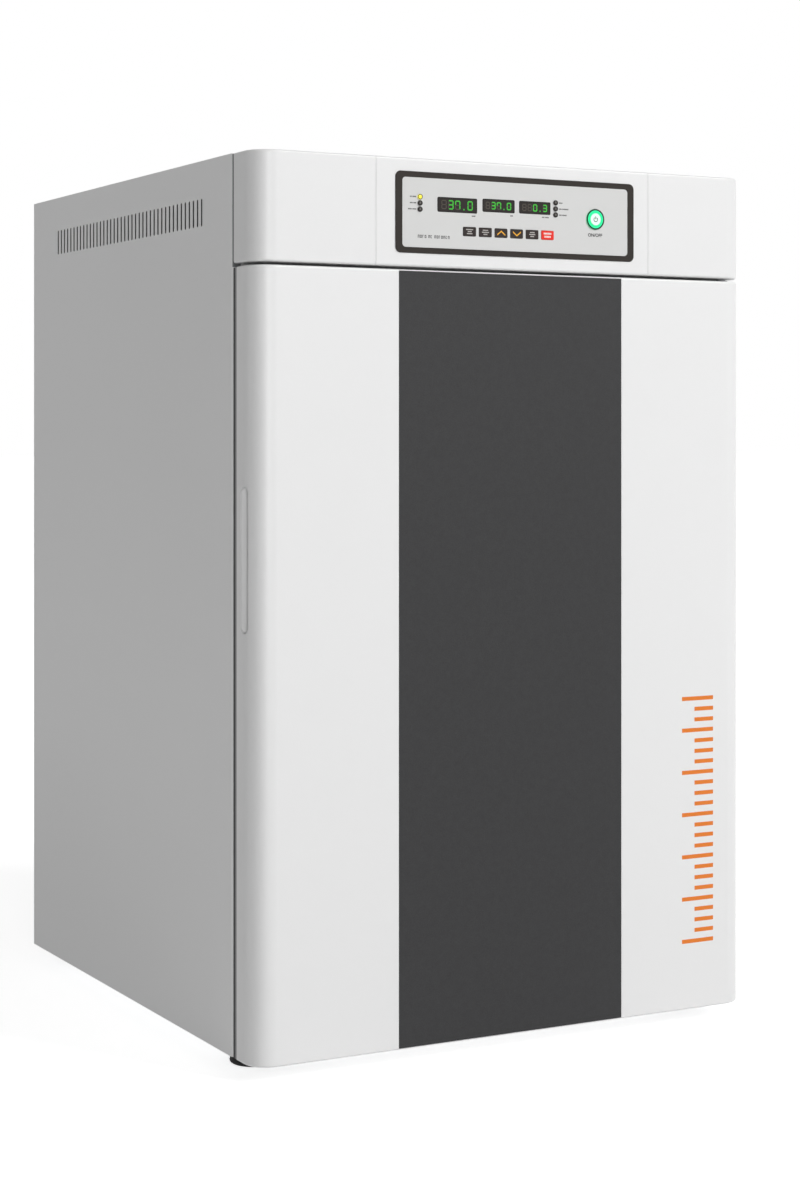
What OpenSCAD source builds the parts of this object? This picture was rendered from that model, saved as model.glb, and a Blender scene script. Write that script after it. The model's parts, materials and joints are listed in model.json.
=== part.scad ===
// Bench-height carbon dioxide incubator: an insulated sheet-metal cabinet with a stainless chamber,
// a glass inner door, a foamed outer door hung on two pins and a control fascia above it.
// Everything is drawn with the cabinet's front plane at y = 0, its underside at z = 0 and +Y to the
// rear. set_down() then stands the whole thing on the floor with the origin under its middle.

/* [Cabinet] */
// Width over the side panels
body_w = 600; // [590:5:680]
// Depth of the cabinet behind its front plane
body_d = 602; // [602:1:700]
// Height of the side panels, without the feet
body_h = 914; // [908:1:980]
// Thickness of the painted sheet
sheet_t = 1.2; // [1:0.1:1.5]
// Outer radius of a bend in the sheet
bend_r = 4; // [3:0.5:5]
// Width of the folded flanges
flange_w = 14; // [12:1:16]
// Radius of the side panels' rear corners
panel_corner_r = 5; // [2:1:10]
// Height of the rubber feet
foot_h = 18; // [14:1:30]
// Radius of a foot where it meets the bench
foot_r = 26; // [20:1:30]
// Distance of the front feet from the sides
foot_side = 42; // [40:1:60]
// Distance of the rear feet from the sides
rear_foot_side = 56; // [40:1:80]
// Distance of the feet from the front and rear planes
foot_end = 38; // [34:1:80]

/* [Side vents] */
// Distance from slot to slot
vent_pitch = 10.84; // [8:0.01:11]
// Width of a slot
vent_w = 3.5; // [2:0.1:5]
// Height of a slot
vent_h = 28.7; // [16:0.1:36]
// Distance of the first slot behind the front plane
vent_first = 77.9; // [40:0.1:100]
// Least distance of the last slot from the rear plane
vent_last = 90; // [60:1:120]
// Distance of the slots' middle below the top
vent_drop = 53.7; // [40:0.1:70]

/* [Door] */
// Thickness of the door
door_t = 45.5; // [42:0.5:60]
// Gap between the door and the front plane, filled by the seal
seal_gap = 7; // [6:0.5:9]
// Radius of the door's and the fascia's upright edges
corner_r = 26; // [22:1:28]
// Radius of the long horizontal edges
edge_r = 2.5; // [1:0.5:4]
// How far the door hangs below the underside
door_drop = 1; // [0:0.5:2]
// Gap between the door and the fascia
door_gap = 3.2; // [3:0.1:6]
// Left edge of the dark front panel
inlay_left = -137; // [-160:1:-100]
// Right edge of the dark front panel
inlay_right = 135; // [100:1:160]
// Thickness of the dark front panel
inlay_t = 3; // [2:0.5:4]
// Painted rim above and below the dark panel
inlay_rim = 1.6; // [1.6:0.1:10]
// Depth of the dish in the door's inner lining
dish_d = 10; // [8:1:14]
// Length of the finger grip
grip_l = 148; // [120:1:170]
// Width of the finger grip
grip_w = 15.2; // [12:0.1:17]
// Depth of the finger grip
grip_d = 12; // [9:0.5:14]
// Distance of the grip's middle in front of the front plane
grip_y = 27.5; // [26:0.5:29]
// Height of the grip's middle above the underside
grip_z = 503.5; // [300:0.5:600]

/* [Door hinge] */
// Distance of the hinge line from the cabinet's side
hinge_in = 15; // [14:0.5:18]
// Distance of the hinge line in front of the front plane
hinge_y = 27; // [24:0.5:30]
// Radius of the hinge pins
hinge_pin_r = 5; // [4:0.5:6]
// Radial clearance of the pins in their bushes
hinge_play = 0.08; // [0.04:0.01:0.1]
// Outer radius of the bushes
bush_r = 8; // [7.5:0.5:9]
// Length of the bushes
bush_l = 22; // [18:1:30]
// Thickness of the hinge brackets
bracket_t = 2.5; // [2:0.5:3]

/* [Fascia] */
// Height of the fascia
fascia_h = 111.8; // [104:0.1:120]
// Gap between the fascia and the front plane
fascia_gap = 3; // [2:0.5:5]
// Wall thickness of the fascia mouldings
fascia_wall = 2.5; // [2:0.1:3]
// Distance from the left seam to the bezel
seam_space_left = 22.1; // [14:0.1:40]
// Distance from the bezel to the right seam
seam_space_right = 19.2; // [14:0.1:40]
// Width of a seam
seam_w = 0.25; // [0.2:0.05:1]
// Width of the control bezel
bezel_w = 292; // [284:1:298]
// Height of the control bezel
bezel_h = 84; // [80:1:90]
// Distance of the bezel's middle below the top
bezel_drop = 56; // [52:0.5:60]
// Offset of the bezel's middle to the right
bezel_x = 4.5; // [0:0.5:8]
// Width of the bezel's rim at its sides
rim_x = 8; // [6:0.5:9]
// Width of the bezel's rim at its top and bottom
rim_z = 6; // [4:0.5:7]
// How far the bezel stands proud of the fascia
bezel_proud = 1; // [0.5:0.1:1.6]
// Width of a key
key_w = 15.3; // [12:0.1:16]
// Height of a key
key_h = 9.5; // [7:0.1:11]
// Distance from key to key
key_pitch = 19.05; // [17.5:0.05:20]
// Distance of the first key to the left of the bezel's middle
key_first = 58.7; // [54:0.1:62]
// Distance of the row of keys below the bezel's middle
key_drop = 17.4; // [14:0.1:20]
// Travel of a key
key_travel = 0.5; // [0.3:0.1:0.6]
// Radius of the power button's cap
power_r = 7.6; // [6:0.1:8]
// Outer radius of the lit ring round the power button
power_ring_r = 11; // [10:0.1:12]
// Travel of the power button
power_travel = 1.5; // [1:0.1:2]
// Radius of an indicator lamp
lamp_r = 2.7; // [2:0.1:3]
// Distance from lamp to lamp
lamp_pitch = 6.4; // [6:0.1:7]

/* [Chamber] */
// Thickness of the insulated wall at either side of the chamber
side_wall = 60; // [55:1:65]
// Thickness of the rear wall, with the space for the fan's motor
rear_wall = 86; // [80:1:96]
// Space above the chamber for its insulation and the electronics
top_space = 194; // [190:1:200]
// Height of the chamber floor above the underside
chamber_z = 60; // [54:1:64]
// Thickness of the stainless lining
liner_t = 1.5; // [1:0.1:2]
// Radius of the chamber's coved corners
cove_r = 20; // [12:1:24]
// Depth of the rebate that holds the glass door
rebate_d = 16; // [15:0.5:18]
// Width of the rebate round the mouth
rebate_w = 22; // [21:0.5:23]
// Height of the lowest shelf above the chamber floor
shelf_first = 120; // [110:5:130]
// Height of the space over the highest shelf
top_tier = 260; // [250:1:270]
// Space in front of the racks and shelves
rack_front = 34; // [30:1:40]
// Space behind the racks and shelves
rack_rear = 66; // [60:1:80]
// Radius of the holes in a shelf
shelf_hole_r = 5; // [3:0.5:7]
// Distance from hole to hole
shelf_hole_pitch = 36; // [30:1:50]

/* [Glass door] */
// Thickness of the glass
glass_t = 5; // [4:0.5:6]
// Distance of the glass behind the front plane
glass_y = 6; // [5.5:0.5:6.5]
// How far the glass laps over the mouth
glass_lap = 10; // [8:0.5:10]
// Radius of the glass hinge pins
leaf_pin_r = 2.5; // [2:0.1:2.8]
// Radial clearance of the glass hinge pins
leaf_play = 0.06; // [0.04:0.01:0.1]

/* [Rear fittings] */
// Radius of the gas spigot
spigot_r = 4; // [3:0.5:5]
// Length of the gas spigot behind the rear panel
spigot_l = 22; // [16:1:30]
// Bore radius of the access port
port_r = 21; // [15:1:24]
// Width of the mains inlet's flange
inlet_w = 50; // [48:1:56]
// Height of the mains inlet's flange
inlet_h = 28; // [27:1:34]

/* [Hidden] */
$fn = 48;
eps = 0.01;
fit = 0.2;
seat = 0.3;

// Heights and planes that several pieces share
half_w = body_w / 2;
in_w = half_w - sheet_t;
front_y = -(seal_gap + door_t);
vent_n = floor((body_d - vent_first - vent_last) / vent_pitch) + 1;
vent_z = body_h - vent_drop;
fascia_z = body_h - fascia_h;
door_z = -door_drop;
door_h = fascia_z - door_gap - door_z;
power_proud = 2;
rear_plane = body_d + sheet_t;
set_y = -(rear_plane + spigot_l + front_y - power_proud) / 2;

// Chamber planes
chamber_w = body_w - 2 * side_wall;
chamber_d = body_d - rebate_d - rear_wall;
chamber_h = body_h - chamber_z - top_space;
mouth_w = chamber_w / 2;
chamber_top = chamber_z + chamber_h;
chamber_y = rebate_d;
chamber_rear = chamber_y + chamber_d;
liner_rear = chamber_rear + liner_t;
foam_rear = liner_rear + 52;
foam_low = 16;
deck_z = chamber_top + liner_t + 62;
slab_w = in_w - sheet_t - fit;
wall_gap = 5;
shelf_n = 3;
shelf_pitch = (chamber_h - shelf_first - top_tier) / (shelf_n - 1);

// Inner door and its hinges
glass_w = mouth_w + glass_lap;
leaf_x = mouth_w + 14;
leaf_y = 3;
leaf_r = 4.8;
leaf_l = 28;
leaf_z = [chamber_z + 90, chamber_top - 90];
ear_t = 5;
knob_x = -(mouth_w - 18);
knob_z = chamber_z + chamber_h / 2;

// Outer door
door_back = -seal_gap - sheet_t;
lip_w = 12;
lining_t = 2;
seal_w = 16;
seal_in = mouth_w + rebate_w + 2;
seal_low = chamber_z - rebate_w - 2;
seal_top = chamber_top + rebate_w + 2;
dish_in = 7;
hinge_x = half_w - hinge_in;
bush_flange_r = bush_r + 3;
bush_flange_t = 3;
washer_r = bush_r - 0.5;
pin_l = bush_l - 5;
cup_wall = 1.6;

// Fan, filter and ports, seen from the front
fan_z = chamber_top - 88;
fan_r = 52;
shaft_r = 3;
shaft_play = 0.05;
duct_w = mouth_w - 90;
duct_low = chamber_top - 160;
duct_d = 46;
duct_t = 1.2;
outlet_w = 14;
outlet_pitch = 24;
filter_r = 44;
filter_l = 36;
port_x = -(mouth_w - 90);
port_z = chamber_z + 200;
port_wall = 4;
spigot_x = half_w - 120;
service_z = body_h - 74;
inlet_x = -(half_w - 100);
sensor_x = mouth_w - 110;
sensor_y = chamber_rear - 186;

// Control panel: what stands on the plate from left to right, and the share of free width before each
overlay_y = front_y - bezel_proud + 0.4;
overlay_t = 2;
board_y = front_y + 7;
board_t = 1.6;
bezel_z = body_h - bezel_drop;
seam_left = bezel_x - bezel_w / 2 - seam_space_left;
seam_right = bezel_x + bezel_w / 2 + seam_space_right;
plate_w = bezel_w - 2 * rim_x;
plate_h = bezel_h - 2 * rim_z;
display_size = [[47.4, 15.4], [39.1, 13.7], [38.7, 13.3]];
part_w = [2 * lamp_r, display_size[0].x, display_size[1].x, display_size[2].x, 2 * lamp_r, 2 * power_ring_r];
share = [17.8, 17.9, 6.45, 5.5, 3.55, 36.3, 30.5];
function total(v, i = 0) = i < len(v) ? v[i] + total(v, i + 1) : 0;
spread = (plate_w - total(part_w)) / total(share);
function part_x(i, k = 0, x = bezel_x - plate_w / 2) =
    k == i ? x + share[k] * spread + part_w[k] / 2 : part_x(i, k + 1, x + share[k] * spread + part_w[k]);
power_x = part_x(5);
power_z = bezel_z + 2;
display_rise = [9.4, 10.9, 10.9];
display_list = [for (i = [0 : 2]) [part_x(i + 1), bezel_z + display_rise[i], display_size[i].x, display_size[i].y]];
lamp_list = [for (k = [0, 1], i = [1 : -1 : -1])
    [part_x(k * 4), bezel_z + (k == 0 ? 9.7 : 11) + i * lamp_pitch]];
key_z = bezel_z - key_drop;

// Paint and material colours
paint = "#e9e9e8";
graphite = "#45464a";
bezel_grey = "#3c3a38";
overlay_grey = "#d5d5d4";
stainless = "#b9bcbf";
rubber = "#1b1b1c";
foam = "#e8dfb8";

// Stands the object on the floor, with the origin under the middle of its box
module set_down() translate([0, set_y, foot_h]) children();

// Extrudes an outline given in (x, z) towards the rear
module along_y(y0, len) translate([0, y0 + len, 0]) rotate([90, 0, 0]) linear_extrude(len) children();

// Extrudes an outline given in (y, z) to the right
module along_x(x0, len) translate([x0, 0, 0]) rotate([90, 0, 90]) linear_extrude(len) children();

// What a rounded corner takes off: p is the corner, s points into the sheet
module corner_waste(p, s, r)
    difference() {
        translate([p.x - (s.x > 0 ? 1 : r), p.y - (s.y > 0 ? 1 : r)]) square(r + 1);
        translate([p.x + s.x * r, p.y + s.y * r]) circle(r);
    }

// Rectangle between two corners with its own radius at each: low left, low right, top right, top left
module rect4(a, b, r)
    difference() {
        translate(a) square(b - a);
        if (r[0] > 0) corner_waste(a, [1, 1], r[0]);
        if (r[1] > 0) corner_waste([b.x, a.y], [-1, 1], r[1]);
        if (r[2] > 0) corner_waste(b, [-1, -1], r[2]);
        if (r[3] > 0) corner_waste([a.x, b.y], [1, -1], r[3]);
    }

// Rectangle about its middle with one radius
module round_rect(c, w, h, r)
    rect4([c.x - w / 2, c.y - h / 2], [c.x + w / 2, c.y + h / 2], [r, r, r, r]);

// Flat ring between two rounded rectangles
module ring4(a, b, r, w)
    difference() {
        rect4(a, b, [r, r, r, r]);
        rect4([a.x + w, a.y + w], [b.x - w, b.y - w], [r - w, r - w, r - w, r - w]);
    }

// End of a soft box with an upright corner of radius r at the origin; it grows to the right and the rear
module soft_end(d, h, r) {
    intersection() {
        translate([r, r, 0]) rotate_extrude() rect4([0, 0], [r, h], [0, edge_r, edge_r, 0]);
        translate([0, 0, -1]) cube([r, r, h + 2]);
    }
    translate([0, d, 0]) rotate([90, 0, 0]) linear_extrude(d - r) rect4([0, 0], [r, h], [edge_r, 0, 0, edge_r]);
}

// Box with soft front edges and upright front corners; edge_r runs round its front and sides, top and bottom
module soft_box(a, b, r_left, r_right) {
    along_x(a.x + r_left, b.x - r_right - a.x - r_left) rect4([a.y, a.z], [b.y, b.z], [edge_r, 0, 0, edge_r]);
    if (r_left > 0) translate(a) soft_end(b.y - a.y, b.z - a.z, r_left);
    if (r_right > 0) translate([b.x, a.y, a.z]) mirror([1, 0, 0]) soft_end(b.y - a.y, b.z - a.z, r_right);
}

// Cylinder towards the rear from a plane
module peg_y(x, y, z, r, len) translate([x, y, z]) rotate([-90, 0, 0]) cylinder(r = r, h = len);

// Plain block between two corners
module block(a, b) translate(a) cube(b - a);

// Cabinet

// Plan of one side panel: a sheet with a flange folded in at the front and at the rear
module side_plan()
    difference() {
        rect4([half_w - flange_w, 0], [half_w, body_d], [0, bend_r, bend_r, 0]);
        rect4([half_w - flange_w - 1, sheet_t], [in_w, body_d - sheet_t],
            [0, bend_r - sheet_t, bend_r - sheet_t, 0]);
    }

module side_panel()
    difference() {
        intersection() {
            linear_extrude(body_h) side_plan();
            along_x(half_w - flange_w - 1, flange_w + 2)
                rect4([-1, 0], [body_d, body_h], [0, panel_corner_r, panel_corner_r, 0]);
        }
        along_x(in_w - 1, sheet_t + 2)
            for (i = [0 : vent_n - 1])
                round_rect([vent_first + i * vent_pitch, vent_z], vent_w, vent_h, vent_w / 2 - eps);
        for (z = screw_heights()) peg_y(screw_x, body_d - sheet_t - 1, z, screw_r + fit, sheet_t + 2);
    }

module side_panel_left() color(paint) mirror([1, 0, 0]) side_panel();
module side_panel_right() color(paint) side_panel();

// Plan of the top cover and the base pan, notched round the side panels' folds
module deck_plan() {
    translate([-in_w, bend_r]) square([2 * in_w, body_d - 2 * bend_r]);
    translate([-(half_w - flange_w - fit), 0]) square([2 * (half_w - flange_w - fit), body_d]);
}

// Upright flanges along both sides of a flat panel
module side_flanges(z0, z1)
    for (s = [-1, 1])
        translate([s * (in_w - sheet_t / 2) - sheet_t / 2, bend_r, z0])
            cube([sheet_t, body_d - 2 * bend_r, z1 - z0]);

module top_cover()
    color(paint) {
        translate([0, 0, body_h - sheet_t]) linear_extrude(sheet_t) deck_plan();
        side_flanges(body_h - sheet_t - flange_w, body_h - sheet_t);
    }

function foot_places() = concat(
    [for (s = [-1, 1]) [s * (half_w - foot_side), foot_end]],
    [for (s = [-1, 1]) [s * (half_w - rear_foot_side), body_d - foot_end]]);
foot_bolt_r = 4;

module base_pan()
    color(paint)
        difference() {
            union() {
                linear_extrude(sheet_t) deck_plan();
                side_flanges(sheet_t, sheet_t + flange_w);
            }
            for (p = foot_places()) translate([p.x, p.y, -1]) cylinder(r = foot_bolt_r + fit, h = sheet_t + 2);
        }

// Screws that hold the rear panel on the side panels' flanges
screw_r = 2;
screw_x = half_w - flange_w / 2 - 1;
screw_end = 60;
function screw_heights() = [for (i = [0 : 3]) screw_end + i * (body_h - 2 * screw_end) / 3];

module rear_screws()
    color(stainless)
        for (s = [-1, 1], z = screw_heights()) {
            peg_y(s * screw_x, body_d - 6, z, screw_r, sheet_t + 6);
            difference() {
                translate([s * screw_x, rear_plane, z]) rotate([-90, 0, 0]) cylinder(r1 = 4.2, r2 = 3.2, h = 2.2);
                translate([s * screw_x - 3, rear_plane + 1.2, z - 0.5]) cube([6, 2, 1]);
            }
        }

// Rear panel with louvre slots for the electronics and holes for what passes through it
module rear_panel()
    color(paint)
        difference() {
            along_y(body_d, sheet_t)
                difference() {
                    rect4([-(half_w - 4), 6], [half_w - 4, body_h - 6], [4, 4, 4, 4]);
                    for (s = [-1, 1], z = screw_heights()) translate([s * screw_x, z]) circle(screw_r + fit);
                    translate([spigot_x, service_z]) circle(spigot_r + 2 + fit);
                    translate([port_x, port_z]) circle(port_r + port_wall + fit);
                    round_rect([inlet_x, service_z], 30, 22, 2);
                    for (i = [-8 : 8]) round_rect([i * vent_pitch, vent_z], vent_w, vent_h, vent_w / 2 - eps);
                }
        }

module feet()
    color(rubber)
        for (p = foot_places())
            translate([p.x, p.y, -foot_h])
                rotate_extrude()
                    difference() {
                        polygon([[foot_bolt_r + fit, 0], [foot_r - 2, 0], [foot_r, 2], [foot_r - 3, foot_h],
                            [foot_bolt_r + fit, foot_h]]);
                        square([10, 7]);
                    }

module foot_screws()
    color(stainless)
        for (p = foot_places())
            translate([p.x, p.y, 0]) {
                translate([0, 0, -foot_h + 2]) cylinder(r = 8, h = 5);
                translate([0, 0, -foot_h + 2]) cylinder(r = foot_bolt_r, h = foot_h + 8);
                translate([0, 0, sheet_t])
                    difference() {
                        cylinder(r = 7.5, h = 5, $fn = 6);
                        translate([0, 0, -1]) cylinder(r = foot_bolt_r + 0.05, h = 7);
                    }
            }

// Front frame: the face behind the door, with the mouth's return walls that form the rebate
frame_t = 1.5;
mouth_corner = cove_r + 4;

module mouth_outline(grow)
    rect4([-(mouth_w + rebate_w + grow), chamber_z - rebate_w - grow],
        [mouth_w + rebate_w + grow, chamber_top + rebate_w + grow],
        [mouth_corner + grow, mouth_corner + grow, mouth_corner + grow, mouth_corner + grow]);

module front_frame()
    color(paint) {
        along_y(0, frame_t)
            difference() {
                rect4([-(half_w - flange_w - fit), sheet_t], [half_w - flange_w - fit, body_h - sheet_t], [0, 0, 0, 0]);
                mouth_outline(0);
                round_rect([bezel_x, bezel_z], 90, 24, 4);
            }
        along_y(0, rebate_d)
            difference() {
                mouth_outline(frame_t);
                mouth_outline(0);
            }
    }

module electronics_deck()
    color(stainless)
        difference() {
            translate([-slab_w, wall_gap, deck_z]) cube([2 * slab_w, body_d - 2 * wall_gap, sheet_t]);
            ceiling_holes(deck_z - 1, sheet_t + 2, fit);
        }

// Insulation

// Everything that passes from the electronics space down into the chamber
module ceiling_holes(z0, len, grow) {
    translate([sensor_x, sensor_y, z0]) cylinder(r = 8 + grow, h = len);
    translate([-sensor_x, sensor_y, z0]) cylinder(r = 3 + grow, h = len);
    translate([spigot_x, gas_y, z0]) cylinder(r = 3 + grow, h = len);
}

module insulation()
    color(foam) {
        side = mouth_w + liner_t;
        depth = foam_rear - liner_front;
        for (s = [-1, 1])
            translate([s > 0 ? side + fit : -slab_w, liner_front, foam_low])
                cube([slab_w - side - fit, depth, deck_z - foam_low]);
        translate([-side, liner_front, foam_low])
            cube([2 * side, depth, chamber_z - liner_t - foam_low]);
        difference() {
            translate([-side, liner_front, chamber_top + liner_t])
                cube([2 * side, depth, deck_z - chamber_top - liner_t]);
            ceiling_holes(chamber_top, 100, 1);
        }
        difference() {
            translate([-side, liner_rear, chamber_z - liner_t + fit])
                cube([2 * side, foam_rear - liner_rear, chamber_h + 2 * liner_t - 2 * fit]);
            peg_y(0, liner_rear - 1, fan_z, motor_flange_r + 1, 100);
            peg_y(port_x, liner_rear - 1, port_z, port_r + port_wall + 0.5, 100);
        }
    }

// Chamber

liner_front = rebate_d + liner_t;
gas_y = chamber_rear - 40;

// Box with coves at its rear and along its four long edges; its mouth is square to the front
module coved_box(grow) {
    r = cove_r + grow;
    intersection() {
        along_y(chamber_y, chamber_d + grow)
            rect4([-(mouth_w + grow), chamber_z - grow], [mouth_w + grow, chamber_top + grow], [r, r, r, r]);
        translate([0, 0, chamber_z - grow - 1])
            linear_extrude(chamber_h + 2 * grow + 2)
                rect4([-(mouth_w + grow), chamber_y - 1], [mouth_w + grow, chamber_rear + grow], [0, 0, r, r]);
        along_x(-(mouth_w + grow + 1), 2 * (mouth_w + grow + 1))
            rect4([chamber_y - 1, chamber_z - grow], [chamber_rear + grow, chamber_top + grow], [0, r, r, 0]);
    }
}

module chamber_liner()
    color(stainless)
        difference() {
            union() {
                coved_box(liner_t);
                along_y(rebate_d, liner_t) mouth_outline(frame_t);
            }
            coved_box(0);
            along_y(rebate_d - 1, 2)
                rect4([-mouth_w, chamber_z], [mouth_w, chamber_top], [cove_r, cove_r, cove_r, cove_r]);
            peg_y(0, chamber_rear - 1, fan_z, shaft_r + 4, 10);
            peg_y(port_x, chamber_rear - 1, port_z, port_r + port_wall + fit, 10);
            ceiling_holes(chamber_top - 1, 10, fit);
        }

module inner_door_gasket()
    color("#8d8f90") {
        along_y(glass_y + glass_t + seat, rebate_d - glass_y - glass_t - seat)
            ring4([-(mouth_w + 10), chamber_z - 10], [mouth_w + 10, chamber_top + 10], cove_r + 10, 6);
        along_y(rebate_d - 2, 2)
            ring4([-(mouth_w + 13), chamber_z - 13], [mouth_w + 13, chamber_top + 13], cove_r + 13, 12);
    }

// Shelf racks: punched side plates with a folded ledge under each shelf
rack_t = 1.5;
rack_y = chamber_y + rack_front;
rack_d = chamber_d - rack_front - rack_rear;
rack_hole_r = 12;
rack_hole_pitch = 50;
rack_x = mouth_w - 2;
rack_low = chamber_z + cove_r + 4;
ledge_w = 16;

function shelf_z(i) = chamber_z + shelf_first + i * shelf_pitch;
rack_top = shelf_z(shelf_n - 1) + 70;

module shelf_rack()
    color(stainless) {
        difference() {
            translate([rack_x - rack_t, rack_y, rack_low]) cube([rack_t, rack_d, rack_top - rack_low]);
            along_x(rack_x - rack_t - 1, rack_t + 2)
                for (i = [0 : shelf_n - 1], j = [1 : floor(rack_d / rack_hole_pitch) - 1])
                    translate([rack_y + j * rack_hole_pitch, shelf_z(i) - shelf_pitch / 2 + 10]) circle(rack_hole_r);
        }
        for (i = [0 : shelf_n - 1])
            translate([rack_x - ledge_w, rack_y, shelf_z(i) - 2]) cube([ledge_w - rack_t, rack_d, 2]);
        for (y = [rack_y + 30, rack_y + rack_d - 30], z = [rack_low + 20, rack_top - 20])
            translate([rack_x - eps, y, z]) rotate([0, 90, 0]) cylinder(r = 6, h = 2 + eps);
    }

module shelf_rack_left() mirror([1, 0, 0]) shelf_rack();
module shelf_rack_right() shelf_rack();

// Perforated shelf with its front and rear edges folded down
shelf_w = rack_x - rack_t - 1.5;
shelf_t = 1.2;
shelf_fold = 12;

module shelf(i)
    color(stainless)
        translate([0, rack_y + 2, shelf_z(i) + seat]) {
            nx = floor((shelf_w - 25) / shelf_hole_pitch);
            ny = floor((rack_d - 60) / shelf_hole_pitch);
            linear_extrude(shelf_t)
                difference() {
                    rect4([-shelf_w, 0], [shelf_w, rack_d], [6, 6, 6, 6]);
                    for (a = [-nx : nx], b = [0 : ny - 1])
                        translate([a * shelf_hole_pitch, rack_d / 2 + (b - (ny - 1) / 2) * shelf_hole_pitch])
                            circle(shelf_hole_r);
                }
            fold_w = shelf_w - ledge_w - 2;
            for (y = [0, rack_d - shelf_t])
                translate([-fold_w, y, -shelf_fold]) cube([2 * fold_w, shelf_t, shelf_fold]);
        }

module shelf_1() shelf(0);
module shelf_2() shelf(1);
module shelf_3() shelf(2);

// Humidity pan on the chamber floor
pan_size = [chamber_w - 100, rack_d - 40, 30];
pan_r = 28;

module water_pan()
    color(stainless)
        translate([0, rack_y, chamber_z + seat]) {
            w = pan_size.x / 2;
            difference() {
                union() {
                    linear_extrude(pan_size.z) rect4([-w, 0], [w, pan_size.y], [pan_r, pan_r, pan_r, pan_r]);
                    translate([0, 0, pan_size.z - liner_t])
                        linear_extrude(liner_t)
                            rect4([-w - 5, -5], [w + 5, pan_size.y + 5], [pan_r + 5, pan_r + 5, pan_r + 5, pan_r + 5]);
                }
                translate([0, 0, liner_t])
                    linear_extrude(pan_size.z)
                        rect4([-w + liner_t, liner_t], [w - liner_t, pan_size.y - liner_t],
                            [pan_r - liner_t, pan_r - liner_t, pan_r - liner_t, pan_r - liner_t]);
            }
        }

// Circulation fan, its motor behind the lining, its cover and the filter on the cover's inlet
motor_flange_r = 40;
motor_r = 32;
motor_l = 55;
fan_y = chamber_rear - 34;
fan_l = 26;

module fan_motor()
    color("#5a5d61")
        difference() {
            union() {
                peg_y(0, liner_rear, fan_z, motor_flange_r, 2);
                peg_y(0, liner_rear, fan_z, motor_r, motor_l);
                peg_y(0, liner_rear + motor_l, fan_z, motor_r - 10, 6);
            }
            peg_y(0, liner_rear - 1, fan_z, shaft_r + shaft_play, motor_l);
            for (a = [0 : 30 : 330])
                translate([0, liner_rear + 12, fan_z]) rotate([0, a, 0]) translate([motor_r - 2, 0, -1.5]) cube([6, motor_l - 22, 3]);
        }

// Backward-curved blade: a slice of a thin arc between hub and rim
module blade()
    intersection() {
        difference() {
            translate([fan_r * 0.45, fan_r * 0.42]) circle(fan_r * 0.55);
            translate([fan_r * 0.45, fan_r * 0.42]) circle(fan_r * 0.55 - 1.6);
        }
        translate([10, -fan_r * 0.3]) square([fan_r - 12, fan_r * 0.62]);
    }

module fan_impeller()
    color("#3f4449")
        translate([0, fan_y, fan_z])
            rotate([-90, 0, 0]) {
                cylinder(r = 13, h = fan_l);
                translate([0, 0, fan_l - 2]) cylinder(r = fan_r, h = 2);
                difference() {
                    cylinder(r = fan_r, h = 1.6);
                    translate([0, 0, -1]) cylinder(r = fan_r - 16, h = 4);
                }
                linear_extrude(fan_l)
                    for (a = [0 : 36 : 324]) rotate(a) blade();
                translate([0, 0, fan_l - 1]) cylinder(r = shaft_r, h = chamber_rear - fan_y - fan_l + 42);
            }

// Cover of the fan: an open-backed box with an inlet, and outlet slots along its lower edge
module fan_cover()
    color(stainless)
        difference() {
            along_y(chamber_rear - duct_d, duct_d)
                rect4([-duct_w, duct_low], [duct_w, chamber_top - cove_r - 2], [12, 12, 12, 12]);
            along_y(chamber_rear - duct_d + duct_t, duct_d)
                rect4([-duct_w + duct_t, duct_low + duct_t], [duct_w - duct_t, chamber_top - cove_r - 2 - duct_t],
                    [12 - duct_t, 12 - duct_t, 12 - duct_t, 12 - duct_t]);
            peg_y(0, chamber_rear - duct_d - 1, fan_z, filter_r - 12, 4);
            outlets = floor((duct_w - 25) / outlet_pitch);
            for (i = [-outlets : outlets])
                translate([i * outlet_pitch - outlet_w / 2, chamber_rear - duct_d + 12, duct_low - 1])
                    cube([outlet_w, 18, 4]);
        }

// Pleated filter: the folds are a ring of wedges between two end caps
module hepa_filter()
    color("#f1f2ee")
        translate([0, chamber_rear - duct_d - filter_l, fan_z])
            rotate([-90, 0, 0]) {
                pleats = 36;
                cylinder(r = filter_r, h = 4);
                difference() {
                    union() {
                        translate([0, 0, filter_l - 4]) cylinder(r = filter_r, h = 4);
                        linear_extrude(filter_l)
                            polygon([for (i = [0 : 2 * pleats - 1])
                                (filter_r - 2 - (i % 2) * 6) * [cos(i * 180 / pleats), sin(i * 180 / pleats)]]);
                    }
                    translate([0, 0, 4]) cylinder(r = filter_r - 12, h = filter_l);
                }
            }

module co2_sensor()
    color("#2c2f33")
        translate([sensor_x, sensor_y, 0]) {
            translate([0, 0, chamber_top - 34]) cylinder(r = 14, h = 34);
            translate([0, 0, chamber_top - 40]) cylinder(r1 = 9, r2 = 14, h = 6);
            translate([0, 0, chamber_top - eps]) cylinder(r = 8, h = deck_z - chamber_top + 20);
        }

module temperature_probe()
    color(stainless)
        translate([-sensor_x, sensor_y, 0]) {
            translate([0, 0, chamber_top - 70]) cylinder(r = 2.5, h = 70);
            translate([0, 0, chamber_top - 8]) cylinder(r = 8, h = 8, $fn = 6);
            translate([0, 0, chamber_top - eps]) cylinder(r = 3, h = deck_z - chamber_top + 16);
        }

// Glass door

module inner_door_glass()
    color("#cfe3e2", 0.4)
        difference() {
            along_y(glass_y, glass_t)
                rect4([-glass_w, chamber_z - glass_lap], [glass_w, chamber_top + glass_lap], [10, 4, 4, 10]);
            peg_y(knob_x, glass_y - 1, knob_z, 3.2, glass_t + 2);
        }

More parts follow.
